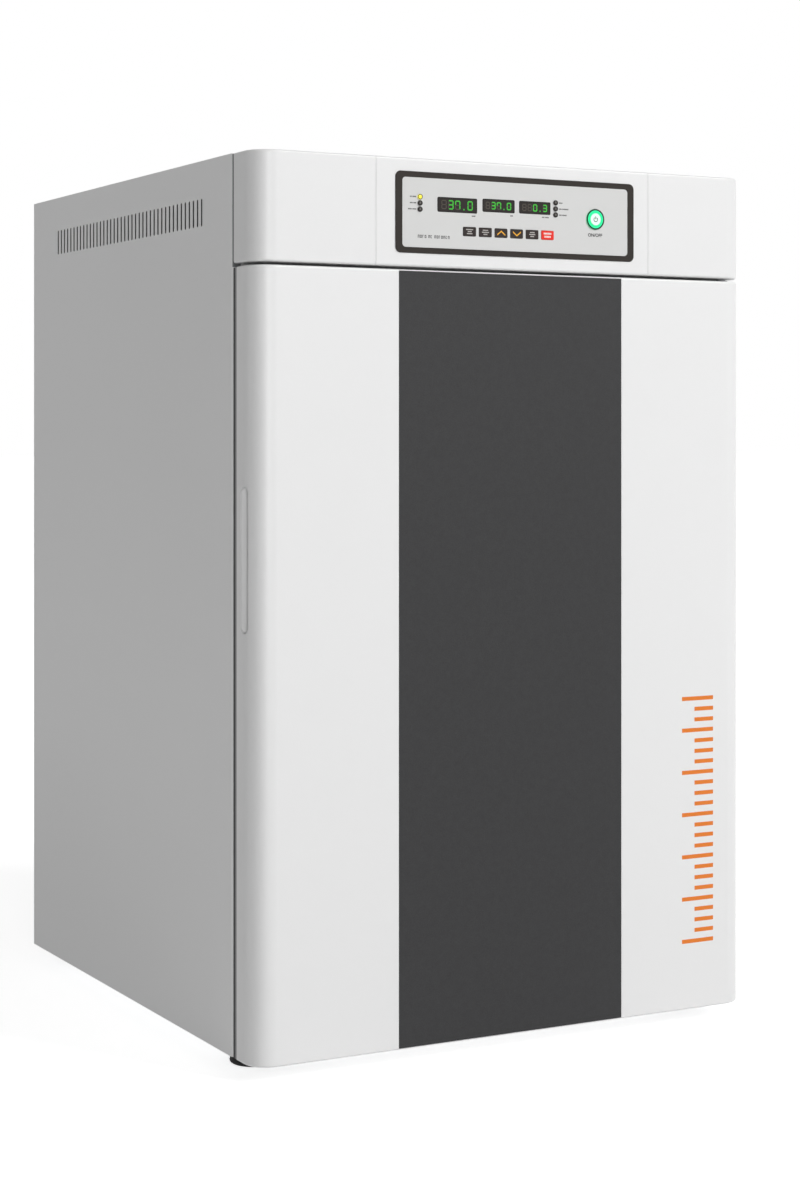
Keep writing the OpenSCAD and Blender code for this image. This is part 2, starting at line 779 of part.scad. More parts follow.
// Leaves screwed to the glass, each with a barrel that drops over its pin
module inner_door_hinges()
    color(stainless)
        for (z = leaf_z)
            difference() {
                union() {
                    translate([leaf_x - 40, leaf_y, z - leaf_l / 2]) cube([40, glass_y - leaf_y, leaf_l]);
                    translate([leaf_x, leaf_y, z - leaf_l / 2]) cylinder(r = leaf_r, h = leaf_l);
                }
                translate([leaf_x, leaf_y, z - leaf_l / 2 - 1]) cylinder(r = leaf_pin_r + leaf_play, h = leaf_l + 2);
                block([leaf_x - 20, glass_y, z - leaf_l / 2 - 1], [glass_w + fit, glass_y + 5, z + leaf_l / 2 + 1]);
            }

// Lift-off hinge brackets on the rebate's right wall: a foot, an ear below the barrel and its pin
module inner_door_brackets()
    color(stainless)
        for (z = leaf_z) {
            wall_x = mouth_w + rebate_w;
            low = z - leaf_l / 2 - seat - ear_t;
            block([wall_x - 2, 0.5, low], [wall_x, rebate_d - 1, z + leaf_l / 2]);
            translate([leaf_x, leaf_y, low]) cylinder(r = leaf_r, h = ear_t);
            block([leaf_x, leaf_y - leaf_r + 1.5, low], [wall_x - 1, leaf_y + leaf_r, low + ear_t]);
            translate([leaf_x, leaf_y, low + 1]) cylinder(r = leaf_pin_r, h = leaf_l + ear_t - 3);
        }

module inner_door_knob()
    color(graphite)
        translate([knob_x, 0, knob_z])
            rotate([-90, 0, 0]) {
                translate([0, 0, glass_y - 16])
                    rotate_extrude()
                        polygon([[0, 0], [9, 0], [11, 2], [11, 6], [6, 9], [5, 16], [0, 16]]);
                translate([0, 0, glass_y - 2]) cylinder(r = 3, h = glass_t + 4);
                translate([0, 0, glass_y + glass_t]) cylinder(r = 6.5, h = 3.5, $fn = 6);
            }

// Fascia

// Hollow of a stretch of the fascia, open to the rear
module fascia_hollow(x0, x1, r_left, r_right)
    translate([0, 0, fascia_z + fascia_wall])
        linear_extrude(fascia_h - 2 * fascia_wall)
            rect4([x0 + fascia_wall, front_y + fascia_wall], [x1 - fascia_wall, 0],
                [max(r_left - fascia_wall, 0), max(r_right - fascia_wall, 0), 0, 0]);

// Pillar that stands a moulding off the front frame, with a pilot hole for its screw
module fascia_boss(x, z)
    difference() {
        peg_y(x, front_y + fascia_wall - eps, z, 5, -front_y - fascia_wall + eps);
        peg_y(x, -12, z, 1.6, 13);
    }

module fascia_shell(x0, x1, r_left, r_right)
    difference() {
        soft_box([x0, front_y, fascia_z], [x1, -fascia_gap, body_h], r_left, r_right);
        fascia_hollow(x0, x1, r_left, r_right);
    }

module fascia_end_left()
    color(paint) {
        fascia_shell(-half_w, seam_left - seam_w / 2, corner_r, 0);
        for (x = [-half_w + corner_r + 10, seam_left - 20], z = [fascia_z + 16, body_h - 16]) fascia_boss(x, z);
    }

module fascia_end_right()
    color(paint) {
        difference() {
            fascia_shell(seam_right + seam_w / 2, half_w, 0, corner_r);
            translate([hinge_x, -hinge_y, fascia_z - 1]) cylinder(r = hinge_pin_r + 0.5, h = fascia_wall + 2);
        }
        for (x = [seam_right + 20, half_w - corner_r - 10], z = [fascia_z + 45, body_h - 16]) fascia_boss(x, z);
    }

module fascia_centre()
    color(paint) {
        difference() {
            fascia_shell(seam_left + seam_w / 2, seam_right - seam_w / 2, 0, 0);
            along_y(front_y - 1, fascia_wall + 2)
                round_rect([bezel_x, bezel_z], bezel_w - 4, bezel_h - 4, 4);
        }
        for (x = [seam_left + 9, seam_right - 9], z = [fascia_z + 16, body_h - 16]) fascia_boss(x, z);
    }

// Control panel

// Dark frame: a lip on the fascia and a sleeve through its opening
module control_bezel()
    color(bezel_grey)
        difference() {
            union() {
                along_y(front_y - bezel_proud, bezel_proud)
                    round_rect([bezel_x, bezel_z], bezel_w, bezel_h, 6);
                along_y(front_y - eps, 4)
                    round_rect([bezel_x, bezel_z], bezel_w - 4 - fit, bezel_h - 4 - fit, 4);
            }
            along_y(front_y - bezel_proud - 1, 8)
                round_rect([bezel_x, bezel_z], plate_w, plate_h, 4);
        }

// Pale control plate with openings for everything that shows through it
module control_overlay()
    color(overlay_grey) {
        along_y(overlay_y, overlay_t)
            difference() {
                round_rect([bezel_x, bezel_z], plate_w - fit, plate_h - fit, 4 - fit / 2);
                for (d = display_list) round_rect([d[0], d[1]], d[2] + fit, d[3] + fit, 1);
                for (p = lamp_list) translate(p) circle(lamp_r + fit / 2);
                for (i = [0 : 5]) round_rect([key_x(i), key_z], key_w + 2 * fit, key_h + 2 * fit, 1.2);
                translate([power_x, power_z]) circle(power_ring_r + fit / 2);
            }
        for (sx = [-1, 1], sz = [-1, 1])
            peg_y(bezel_x + sx * (plate_w / 2 - 13), overlay_y + overlay_t - eps, bezel_z + sz * (plate_h / 2 - 6),
                2.5, board_y - overlay_y - overlay_t + eps);
    }

function key_x(i) = bezel_x - key_first + i * key_pitch;

// Display blocks: windows flush with the control plate, standing on the board
module displays()
    color("#22281f")
        for (d = display_list)
            along_y(overlay_y - 0.1, board_y - overlay_y + 0.1) round_rect([d[0], d[1]], d[2], d[3], 1);

module indicator_lamps()
    color(bezel_grey)
        for (p = lamp_list)
            translate([p.x, overlay_y - 1, p.y])
                rotate([-90, 0, 0]) {
                    rotate_extrude()
                        polygon([[0, 0], [lamp_r * 0.6, 0.15], [lamp_r * 0.9, 0.5], [lamp_r, 1], [lamp_r, 2], [0, 2]]);
                    translate([0, 0, 1]) cylinder(r = lamp_r * 0.8, h = board_y - overlay_y);
                }

// Key cap with a plunger that stops one travel and a seat's width short of its switch
switch_t = 2;

module key(i, tint)
    color(tint) {
        along_y(overlay_y - 0.6, overlay_t) round_rect([key_x(i), key_z], key_w, key_h, 1);
        peg_y(key_x(i), overlay_y + 1, key_z, 2, board_y - switch_t - key_travel - 0.1 - overlay_y - 1);
    }

module key_1() key(0, bezel_grey);
module key_2() key(1, bezel_grey);
module key_3() key(2, bezel_grey);
module key_4() key(3, bezel_grey);
module key_5() key(4, bezel_grey);
module key_6() key(5, "#e03327");

// Lit ring: an annulus on a sleeve that stands on the board
module power_button_ring()
    color("#1ee69a")
        difference() {
            union() {
                translate([power_x, overlay_y - 1, power_z])
                    rotate([-90, 0, 0])
                        rotate_extrude()
                            polygon([[0, 0], [power_ring_r - 1, 0], [power_ring_r, 1], [power_ring_r, 3], [0, 3]]);
                peg_y(power_x, overlay_y + 1, power_z, power_ring_r - 1, board_y - overlay_y - 1);
            }
            peg_y(power_x, overlay_y - 2, power_z, power_r + fit, board_y - overlay_y + 3);
        }

module power_button()
    color("#f4f5f4")
        translate([power_x, front_y - power_proud, power_z])
            rotate([-90, 0, 0])
                rotate_extrude()
                    polygon([[0, 0.3], [power_r * 0.6, 0.2], [power_r - 1, 0], [power_r, 1],
                        [power_r, board_y - front_y + power_proud - switch_t - power_travel - 0.2],
                        [0, board_y - front_y + power_proud - switch_t - power_travel - 0.2]]);

// Board with a switch behind each key and the power button, a driver behind each display and a plug
chip_size = [26, 4, 12];
plug_size = [34, 10, 10];

module control_board()
    color("#2d6b45") {
        block([bezel_x - plate_w / 2 + 6, board_y, bezel_z - plate_h / 2 + 2],
            [bezel_x + plate_w / 2 - 6, board_y + board_t, bezel_z + plate_h / 2 - 2]);
        for (i = [0 : 5])
            block([key_x(i) - 3, board_y - switch_t, key_z - 3], [key_x(i) + 3, board_y, key_z + 3]);
        block([power_x - 5, board_y - switch_t, power_z - 5], [power_x + 5, board_y, power_z + 5]);
        for (d = display_list)
            block([d[0] - chip_size.x / 2, board_y + board_t, d[1] - chip_size.z / 2],
                [d[0] + chip_size.x / 2, board_y + board_t + chip_size.y, d[1] + chip_size.z / 2]);
        block([power_x - plug_size.x / 2, board_y + board_t, bezel_z - 22],
            [power_x + plug_size.x / 2, board_y + board_t + plug_size.y, bezel_z - 22 + plug_size.z]);
    }

// Electronics space
deck_top = deck_z + sheet_t;
supply = [110, 180, 42];
supply_at = [-slab_w + 27, 200, deck_top];
slot_pitch = 15;
terminal = [11, 12, 14];

module power_supply()
    color("#8d9296")
        translate(supply_at) {
            difference() {
                cube(supply);
                for (i = [1 : floor(supply.y / slot_pitch) - 2])
                    translate([12, i * slot_pitch + 5, supply.z - 4]) cube([supply.x - 24, 6, 6]);
            }
            for (i = [0 : 6])
                translate([10 + i * (terminal.x + 2), -terminal.y, 0]) cube([terminal.x, terminal.y + eps, terminal.z]);
        }

module gas_valve()
    color("#a98f52") {
        translate([spigot_x - 14, gas_y - 14, deck_top]) cube([28, 40, service_z - deck_top + 12]);
        translate([spigot_x, gas_y + 4, service_z + 12 - eps]) cylinder(r = 13, h = 34);
        translate([spigot_x, gas_y, chamber_top - 6]) cylinder(r = 3, h = deck_top - chamber_top + 6 + eps);
        peg_y(spigot_x, gas_y + 26 - eps, service_z, 3, body_d - 8 - gas_y - 26 + eps);
    }

// Bulkhead fitting: nut and thread inside the rear panel, collar and plain spigot outside
module co2_inlet()
    color("#c8a95a")
        difference() {
            union() {
                peg_y(spigot_x, body_d - 8, service_z, spigot_r + 2, 9 + sheet_t);
                translate([spigot_x, body_d - 5, service_z]) rotate([-90, 0, 0]) cylinder(r = 9, h = 5, $fn = 6);
                translate([spigot_x, rear_plane, service_z]) rotate([-90, 0, 0]) cylinder(r = 9, h = 4, $fn = 6);
                peg_y(spigot_x, rear_plane, service_z, spigot_r, spigot_l);
            }
            peg_y(spigot_x, body_d - 9, service_z, spigot_r - 1.5, spigot_l + 20);
        }

module port_tube()
    color("#e4e4e0")
        difference() {
            union() {
                peg_y(port_x, chamber_rear - 2, port_z, port_r + port_wall, rear_plane - chamber_rear + 4);
                peg_y(port_x, rear_plane, port_z, port_r + port_wall + 5, 2.5);
            }
            peg_y(port_x, chamber_rear - 3, port_z, port_r, rear_plane - chamber_rear + 8);
        }

// Soft stopper in the port's outer end, with a pull tab
module port_stopper()
    color("#d9dad6")
        translate([port_x, rear_plane + 2.5, port_z])
            rotate([-90, 0, 0]) {
                translate([0, 0, -28]) cylinder(r1 = port_r - 3, r2 = port_r - 0.4, h = 28);
                translate([0, 0, 0]) cylinder(r = port_r + 3, h = 5);
                translate([-3, -12, 5 - eps]) cube([6, 24, 9]);
            }

// Mains inlet: a flanged socket with three blades
module power_inlet()
    color("#26272a")
        translate([inlet_x, 0, service_z]) {
            difference() {
                union() {
                    along_y(rear_plane, 2.5) round_rect([0, 0], inlet_w, inlet_h, 4);
                    along_y(rear_plane - 22, 22) round_rect([0, 0], 29, 21, 2);
                }
                along_y(rear_plane - 16, 20)
                    difference() {
                        round_rect([0, 0], 24.5, 16.5, 1);
                        for (s = [-1, 1]) translate([s * 12.25, 8.25]) rotate(45) square(5, center = true);
                    }
                for (s = [-1, 1]) peg_y(s * (inlet_w / 2 - 5), rear_plane - 1, 0, 1.7, 5);
            }
            for (p = [[-7, -1], [0, 2.5], [7, -1]])
                translate([p[0] - 1, rear_plane - 17, p[1] - 2]) cube([2, 13, 4]);
        }

// Outer door

// Outer form of the door
module door_form() soft_box([-half_w, front_y, door_z], [half_w, -seal_gap, door_z + door_h], corner_r, corner_r);

// Form of what fills the door, drawn in from every outer face by inset
module door_core(inset)
    translate([0, 0, door_z + inset])
        linear_extrude(door_h - 2 * inset)
            rect4([-half_w + inset, front_y + inset], [half_w - inset, -seal_gap - inset],
                [corner_r - inset, corner_r - inset, 0, 0]);

// Shallow channel in the door's front that takes the dark panel
module inlay_channel(grow)
    block([inlay_left - fit - grow, front_y - 1, door_z + inlay_rim - fit - grow],
        [inlay_right + fit + grow, front_y + inlay_t + grow, door_z + door_h - inlay_rim + fit + grow]);

// Outline of the finger grip in (y, z)
module grip_outline(grow)
    round_rect([-grip_y, grip_z], grip_w + 2 * grow, grip_l + 2 * grow, grip_w / 2 + grow - eps);

module door_shell()
    color(paint)
        difference() {
            union() {
                difference() {
                    door_form();
                    door_core(sheet_t);
                }
                intersection() {
                    door_form();
                    inlay_channel(sheet_t);
                }
            }
            inlay_channel(0);
            along_y(-seal_gap - sheet_t - 1, sheet_t + 2)
                rect4([-half_w + lip_w, door_z + lip_w], [half_w - lip_w, door_z + door_h - lip_w], [4, 4, 4, 4]);
            along_x(-half_w - 1, grip_d) grip_outline(0);
            translate([hinge_x, -hinge_y, door_z - 1]) cylinder(r = bush_r, h = sheet_t + 2);
            translate([hinge_x, -hinge_y, door_z + door_h - sheet_t - 1]) cylinder(r = bush_r, h = sheet_t + 2);
        }

module door_front_panel()
    color(graphite)
        block([inlay_left, front_y, door_z + inlay_rim],
            [inlay_right, front_y + inlay_t, door_z + door_h - inlay_rim]);

// Scooped cup behind the grip's opening; its rear wall slants forward so that fingers hook its front
module door_grip_cup()
    color(paint)
        difference() {
            intersection() {
                along_x(-half_w, grip_d + cup_wall) grip_outline(cup_wall);
                door_core(sheet_t + fit / 2);
            }
            intersection() {
                along_x(-half_w - 1, grip_d + 1) grip_outline(0);
                translate([0, 0, grip_z - grip_l / 2 - 1])
                    linear_extrude(grip_l + 2)
                        polygon([[-half_w - 1, -grip_y + grip_w / 2], [-half_w + sheet_t, -grip_y + grip_w / 2],
                            [-half_w + grip_d, -grip_y - grip_w / 4], [-half_w + grip_d, -grip_y - grip_w / 2],
                            [-half_w - 1, -grip_y - grip_w / 2]]);
            }
        }

module dish_outline(grow)
    rect4([-(seal_in - dish_in + grow), seal_low + dish_in - grow],
        [seal_in - dish_in + grow, seal_top - dish_in + grow],
        [mouth_corner + grow, mouth_corner + grow, mouth_corner + grow, mouth_corner + grow]);

// Inner lining of the door: a plate behind the shell's lip, dished over the mouth
module door_liner()
    color("#f0f0ee")
        difference() {
            union() {
                block([-in_w + fit, door_back - lining_t, door_z + sheet_t + fit],
                    [in_w - fit, door_back, door_z + door_h - sheet_t - fit]);
                along_y(door_back - dish_d - lining_t, dish_d + lining_t) dish_outline(lining_t);
            }
            along_y(door_back - dish_d, dish_d + 1) dish_outline(0);
        }

// Both bushes: collared sleeves, open towards the pins
module bush_pair(grow)
    for (s = [1, -1])
        translate([hinge_x, -hinge_y, s > 0 ? door_z : door_z + door_h])
            mirror([0, 0, s > 0 ? 0 : 1]) {
                cylinder(r = bush_r + grow, h = bush_l + grow);
                translate([0, 0, sheet_t]) cylinder(r = bush_flange_r + grow, h = bush_flange_t + grow);
            }

module door_bushes()
    color("#d8cfae")
        difference() {
            bush_pair(0);
            translate([hinge_x, -hinge_y, door_z - 1]) cylinder(r = hinge_pin_r + hinge_play, h = bush_l - 1);
            translate([hinge_x, -hinge_y, door_z + door_h - bush_l + 2])
                cylinder(r = hinge_pin_r + hinge_play, h = bush_l);
        }

module door_foam()
    color(foam)
        difference() {
            intersection() {
                door_core(sheet_t + fit);
                translate([-half_w, front_y, door_z])
                    cube([body_w, door_back - lining_t - front_y, door_h]);
            }
            inlay_channel(sheet_t + fit);
            along_y(door_back - dish_d - lining_t - fit, dish_d + lining_t + 1) dish_outline(lining_t + fit);
            along_x(-half_w, grip_d + cup_wall + fit) grip_outline(cup_wall + fit);
            bush_pair(fit);
        }

// Magnetic seal: a flat foot on the lining and a narrower bellows that meets the front frame
module door_gasket()
    color("#77797b") {
        along_y(door_back, 4)
            ring4([-(seal_in + seal_w), seal_low - seal_w], [seal_in + seal_w, seal_top + seal_w],
                mouth_corner + seal_w, seal_w);
        along_y(door_back + 4, -seat - door_back - 4)
            ring4([-(seal_in + seal_w - 2), seal_low - seal_w + 2], [seal_in + seal_w - 2, seal_top + seal_w - 2],
                mouth_corner + seal_w - 2, seal_w - 5);
    }

// Where the lower bracket ends, clear of the foot behind it
bracket_rear = foot_end - foot_r + 4;

// Side profile of the lower bracket, cranked from under the base pan to below the door
module crank_profile()
    polygon([[-hinge_y - 14, door_z - 1 - bracket_t], [-4, door_z - 1 - bracket_t], [2, -bracket_t],
        [bracket_rear, -bracket_t], [bracket_rear, 0], [1, 0], [-5, door_z - 1], [-hinge_y - 14, door_z - 1]]);

// Rounded nose of both brackets round the hinge line
nose_r = 11;

module nose_plan(rear)
    union() {
        translate([hinge_x, -hinge_y]) circle(nose_r);
        translate([hinge_x - nose_r, -hinge_y]) square([2 * nose_r, hinge_y + rear]);
    }

// Lower bracket under the cabinet and upper bracket inside the fascia, each with its pin and washer
module door_hinge_brackets()
    color("#6f7478") {
        top_z = door_z + door_h;
        plate_z = fascia_z + fascia_wall + seat;
        intersection() {
            along_x(hinge_x - nose_r - 1, 2 * nose_r + 2) crank_profile();
            translate([0, 0, -20]) linear_extrude(40) nose_plan(50);
        }
        translate([hinge_x, -hinge_y, door_z - 1.5]) cylinder(r = washer_r, h = 1.5 - seat);
        translate([hinge_x, -hinge_y, door_z - 1.5]) cylinder(r = hinge_pin_r, h = pin_l + 1.5);
        translate([0, 0, plate_z]) linear_extrude(bracket_t) nose_plan(0);
        block([hinge_x - nose_r, -bracket_t, plate_z], [hinge_x + nose_r, 0, plate_z + 36]);
        translate([hinge_x, -hinge_y, top_z + seat]) cylinder(r = washer_r, h = 1.5);
        translate([hinge_x, -hinge_y, top_z - pin_l]) cylinder(r = hinge_pin_r, h = plate_z - top_z + pin_l + 1);
    }

set_down() side_panel_left();
set_down() side_panel_right();
set_down() top_cover();
set_down() rear_panel();
set_down() base_pan();
set_down() front_frame();
set_down() electronics_deck();
set_down() insulation();
set_down() chamber_liner();
set_down() inner_door_gasket();
set_down() shelf_rack_left();
set_down() shelf_rack_right();
set_down() shelf_1();
set_down() shelf_2();
set_down() shelf_3();
set_down() water_pan();
set_down() fan_motor();
set_down() fan_impeller();
set_down() fan_cover();
set_down() hepa_filter();
set_down() co2_sensor();
set_down() temperature_probe();
set_down() inner_door_glass();
set_down() inner_door_hinges();
set_down() inner_door_brackets();
set_down() inner_door_knob();
set_down() fascia_end_left();
set_down() fascia_centre();
set_down() fascia_end_right();
set_down() control_bezel();
set_down() control_overlay();
set_down() displays();
set_down() indicator_lamps();
set_down() key_1();
set_down() key_2();
set_down() key_3();
set_down() key_4();
set_down() key_5();
set_down() key_6();
set_down() power_button();
set_down() power_button_ring();
set_down() control_board();
set_down() power_supply();
set_down() gas_valve();
set_down() co2_inlet();
set_down() port_tube();
set_down() port_stopper();
set_down() power_inlet();
set_down() rear_screws();
set_down() feet();
set_down() foot_screws();
set_down() door_shell();
set_down() door_front_panel();
set_down() door_liner();
set_down() door_foam();
set_down() door_gasket();
set_down() door_grip_cup();
set_down() door_bushes();
set_down() door_hinge_brackets();
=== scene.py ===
# %% [markdown]
# # A carbon dioxide incubator, dressed
#
# The object is a white sheet-metal cabinet that keeps cell cultures warm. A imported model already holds
# every solid piece at its real size, and this lesson gives each of them its finish. The frame comes first,
# because every later piece takes its place from it.

import json
import math

import bmesh
import bpy
from mathutils import Matrix, Vector


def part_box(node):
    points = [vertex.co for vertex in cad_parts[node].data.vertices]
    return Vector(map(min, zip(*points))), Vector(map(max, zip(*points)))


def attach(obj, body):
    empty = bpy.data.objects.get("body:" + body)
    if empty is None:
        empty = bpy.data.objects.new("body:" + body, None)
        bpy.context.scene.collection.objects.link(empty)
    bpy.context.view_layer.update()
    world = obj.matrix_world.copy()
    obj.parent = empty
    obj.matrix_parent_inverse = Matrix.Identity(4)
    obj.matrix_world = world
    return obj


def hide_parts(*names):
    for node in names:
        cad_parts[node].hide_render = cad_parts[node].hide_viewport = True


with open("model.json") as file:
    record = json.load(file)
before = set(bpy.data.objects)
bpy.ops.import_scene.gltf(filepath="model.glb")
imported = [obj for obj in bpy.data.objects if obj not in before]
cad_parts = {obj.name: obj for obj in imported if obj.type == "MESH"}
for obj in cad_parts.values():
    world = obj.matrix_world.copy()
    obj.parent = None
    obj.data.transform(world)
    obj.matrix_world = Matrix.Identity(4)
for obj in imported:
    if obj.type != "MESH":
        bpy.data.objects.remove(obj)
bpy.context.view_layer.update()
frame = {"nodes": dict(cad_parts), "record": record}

# %% [markdown]
# ## Units and planes
#
# Blender works in metres and a workshop drawing in millimetres, so MM turns one into the other. The planes
# that later pieces share are read from the solids: the front of the door, the front of the control plate
# and the underside of the cabinet. Nothing has to be typed twice, and a changed model moves its dressing
# along.

# %% Units and planes
MM = 0.001


def centre_of(node):
    """Middle of a node's box, as x, y and z in metres."""
    low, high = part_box(node)
    return (low + high) / 2


def linked(name, data):
    """A new object in the scene, at the origin, that carries data."""
    thing = bpy.data.objects.new(name, data)
    bpy.context.scene.collection.objects.link(thing)
    return thing


door_low, door_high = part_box("door_shell")
FRONT = door_low.y
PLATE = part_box("control_overlay")[0].y
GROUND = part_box("base_pan")[0].z
print("door front at y =", round(FRONT, 4), " control plate at y =", round(PLATE, 4))

# %% [markdown]
# ## The camera
#
# The photograph was taken with a level camera whose lens was shifted downwards, which keeps all upright
# edges upright. Blender does the same with shift_y: the camera looks straight ahead and the frame slides
# down over the picture plane. The lens and the place were solved from the cabinet's own edges.

# %% The camera
camera_data = bpy.data.cameras.new("camera")
camera = linked("camera", camera_data)
bpy.context.scene.camera = camera

PHOTO_HEIGHT = 1201
FOCAL_PIXELS = 2339.8
HORIZON_PIXEL = 433.2
EYE_X = -1268.6 * MM
EYE_BEHIND_FRONT = -2111.6 * MM
EYE_ABOVE_PAN = 630.9 * MM
TURN = math.radians(28.21)

camera_data.sensor_width = 36
camera_data.lens = FOCAL_PIXELS * camera_data.sensor_width / PHOTO_HEIGHT
camera_data.shift_y = (HORIZON_PIXEL - PHOTO_HEIGHT / 2) / PHOTO_HEIGHT
camera.location = (EYE_X, FRONT + EYE_BEHIND_FRONT, GROUND + EYE_ABOVE_PAN)
camera.rotation_euler = (math.radians(90), 0, -TURN)
print("lens", round(camera_data.lens, 1), "mm, shift", round(camera_data.shift_y, 4))

# %% [markdown]
# ## Writing shaders as sums
#
# A material is a small network of nodes, and building it link by link hides what it computes. Value wraps
# an output socket so that it can be added and multiplied like a number, and a bar between two of them takes
# the larger one. Each such sum adds its Math nodes. Graph adds any other node in one line, for materials,
# the world and geometry alike.

# %% Writing shaders as sums
def plug(tree, socket, value):
    """Links a Value to a socket, or sets the socket to a plain number, colour or vector."""
    if isinstance(value, Value):
        tree.links.new(value.socket, socket)
    else:
        socket.default_value = value


class Value:
    """A number that varies over a surface. Sums with it add Math nodes."""

    def __init__(self, tree, socket):
        self.tree = tree
        self.socket = socket

    def combine(self, operation, first, second):
        return Graph(self.tree).node("ShaderNodeMath", {"operation": operation}, (first, second))

    def __add__(self, other):
        return self.combine("ADD", self, other)

    def __mul__(self, other):
        return self.combine("MULTIPLY", self, other)

    def __or__(self, other):
        return self.combine("MAXIMUM", self, other)

    __radd__ = __add__
    __rmul__ = __mul__
    __ror__ = __or__


class Graph:
    """A network of nodes, filled one node to a line."""

    def __init__(self, tree):
        self.tree = tree

    def node(self, kind, settings=None, slots=(), out=0, **inputs):
        """Adds a node, sets it up, fills its sockets by order or by name, and returns one output."""
        made = self.tree.nodes.new(kind)
        for key, value in (settings or {}).items():
            setattr(made, key, value)
        for socket, value in zip(made.inputs, slots):
            plug(self.tree, socket, value)
        for key, value in inputs.items():
            plug(self.tree, made.inputs[key.replace("_", " ")], value)
        return Value(self.tree, made.outputs[out]) if len(made.outputs) else None


print("ready:", Value.__name__, "and", Graph.__name__)

# %% [markdown]
# ## A finish and its colour
#
# Every finish starts from the principled shader. Its constants are set once, and what varies comes from
# noise in the object's own metres: grain makes the noise, tint lets it move the colour, and relief lets it
# raise the surface. Colours are given as the eye reads them, and linear turns them into the light levels
# that shaders compute with.

# %% A finish and its colour
class Finish(Graph):
    """One material while it is written: a principled shader and the nodes that feed it."""

    def __init__(self, name, colour, rough, metal=0.0, coat=0.0, shine=0.5):
        self.material = bpy.data.materials.new(name)
        self.material.use_nodes = True
        super().__init__(self.material.node_tree)
        self.shader = self.tree.nodes["Principled BSDF"]
        self.set("Base Color", (*colour, 1))
        self.set("Roughness", rough)
        self.set("Metallic", metal)
        self.set("Coat Weight", coat)
        self.set("Specular IOR Level", shine)
        self.place = self.node("ShaderNodeTexCoord", out="Object")

    def set(self, socket, value):
        plug(self.tree, self.shader.inputs[socket], value)

    def grain(self, scale, detail=2.0, stretch=(1, 1, 1)):
        """Noise from 0 to 1. scale is the number of grains in a metre along an unstretched axis."""
        where = self.node("ShaderNodeMapping", Vector=self.place, Scale=stretch)
        return self.node("ShaderNodeTexNoise", Vector=where, Scale=scale, Detail=detail)

    def tint(self, dark, light, amount):
        """Mixes two colours by amount and wears the result."""
        self.set("Base Color", self.node("ShaderNodeMix", {"data_type": "RGBA"}, out="Result",
                                         Factor=amount, A=(*dark, 1), B=(*light, 1)))

    def relief(self, height, depth):
        """Bump from a height of 0 to 1 that stands for depth in metres."""
        self.set("Normal", self.node("ShaderNodeBump", Height=height, Distance=depth, out="Normal"))


def linear(*rgb):
    """A colour as the eye reads it, 0 to 255, turned into the light level that shaders use."""
    parts = [c / 255 for c in rgb]
    return tuple(p / 12.92 if p <= 0.04045 else ((p + 0.055) / 1.055) ** 2.4 for p in parts)


print("a middle grey of 128 is a light level of", round(linear(128)[0], 3))

# %% [markdown]
# ## Light
#
# The photograph shows a bright front and a side at less than half of that, with no hard shadow. The rounded
# corner tells where the lamps stand. From the side its tone climbs steeply, so the key light comes from
# high on the right. Then it peaks where the surface faces halfway between the camera and a spot seventeen
# degrees to the left, at every height alike, so a tall strip light stands there. A pale world fills in the
# rest. Camera, mirror and glass rays see a pure white world, so the background is white while the light on
# the object stays plain.

# %% Light
AMBIENT = 0.205


def backdrop_rays(graph):
    """1 for camera, glass and mirror rays, which show the backdrop, and 0 for all others."""
    seen, through, mirrored = (graph.node("ShaderNodeLightPath", out="Is " + kind + " Ray")
                               for kind in ("Camera", "Transmission", "Glossy"))
    return seen | through | mirrored


world = bpy.data.worlds.new("studio")
bpy.context.scene.world = world
world.use_nodes = True
sky = Graph(world.node_tree)
sky.tree.nodes.clear()
plain = sky.node("ShaderNodeBackground", Color=(1, 1, 1, 1), Strength=AMBIENT)
white = sky.node("ShaderNodeBackground", Color=(1, 1, 1, 1), Strength=1.0)
chosen = sky.node("ShaderNodeMixShader", slots=(backdrop_rays(sky), plain, white))
sky.node("ShaderNodeOutputWorld", Surface=chosen)


def lamp(name, place, target, wide, tall, power):
    """A soft lamp of wide by tall metres at place that looks at target."""
    data = bpy.data.lights.new(name, "AREA")
    data.shape = "RECTANGLE"
    data.size = wide
    data.size_y = tall
    data.energy = power
    rig = linked(name, data)
    rig.location = place
    rig.rotation_euler = (Vector(target) - Vector(place)).to_track_quat("-Z", "Y").to_euler()


MIDDLE = (0, 0, 0.5)
lamp("key_softbox", (2.8, -4.35, 3.9), MIDDLE, 2.0, 2.0, 206)
lamp("strip_light", (-1.92, -5.6, 0.6), MIDDLE, 0.8, 3.2, 110)
bpy.context.scene.view_settings.view_transform = "Standard"
print("lamps:", [light.name for light in bpy.data.lights])

# %% [markdown]
# ## Painted steel
#
# The cabinet and the door shell are powder coated. Such paint isn't flat: as it melts it keeps a shallow
# skin of bumps about two millimetres apart, called orange peel, which breaks up reflections. Noise at that
# pitch feeds the bump, and slower noise moves the roughness a little, as handling and thickness do.

# %% Painted steel
def powder_coat(name, tone):
    """Satin powder coat in one tone."""
    coat = Finish(name, tone, 0.4, coat=0.3)
    coat.set("Coat Roughness", 0.36)
    peel = coat.grain(520, 1.0)
    dust = coat.grain(2600, 1.0)
    cloud = coat.grain(5, 3.0)
    coat.set("Roughness", 0.36 + cloud * 0.08)
    coat.tint([c * 0.985 for c in tone], tone, cloud)
    coat.relief(peel * 0.8 + dust * 0.2, 0.03 * MM)
    return coat.material


WHITE = linear(233, 233, 233)
white_paint = powder_coat("white_powder_coat", WHITE)
print("finish:", white_paint.name)

# %% [markdown]
# ## Mouldings, rubber and film
#
# The fascia is a painted moulding, smoother than the sheet. The bezel and the keys have the fine
# spark-eroded texture of their tool. Rubber is dull and a little dusty. The control plate is a printed
# film: very even, with a faint tooth that takes the shine off.

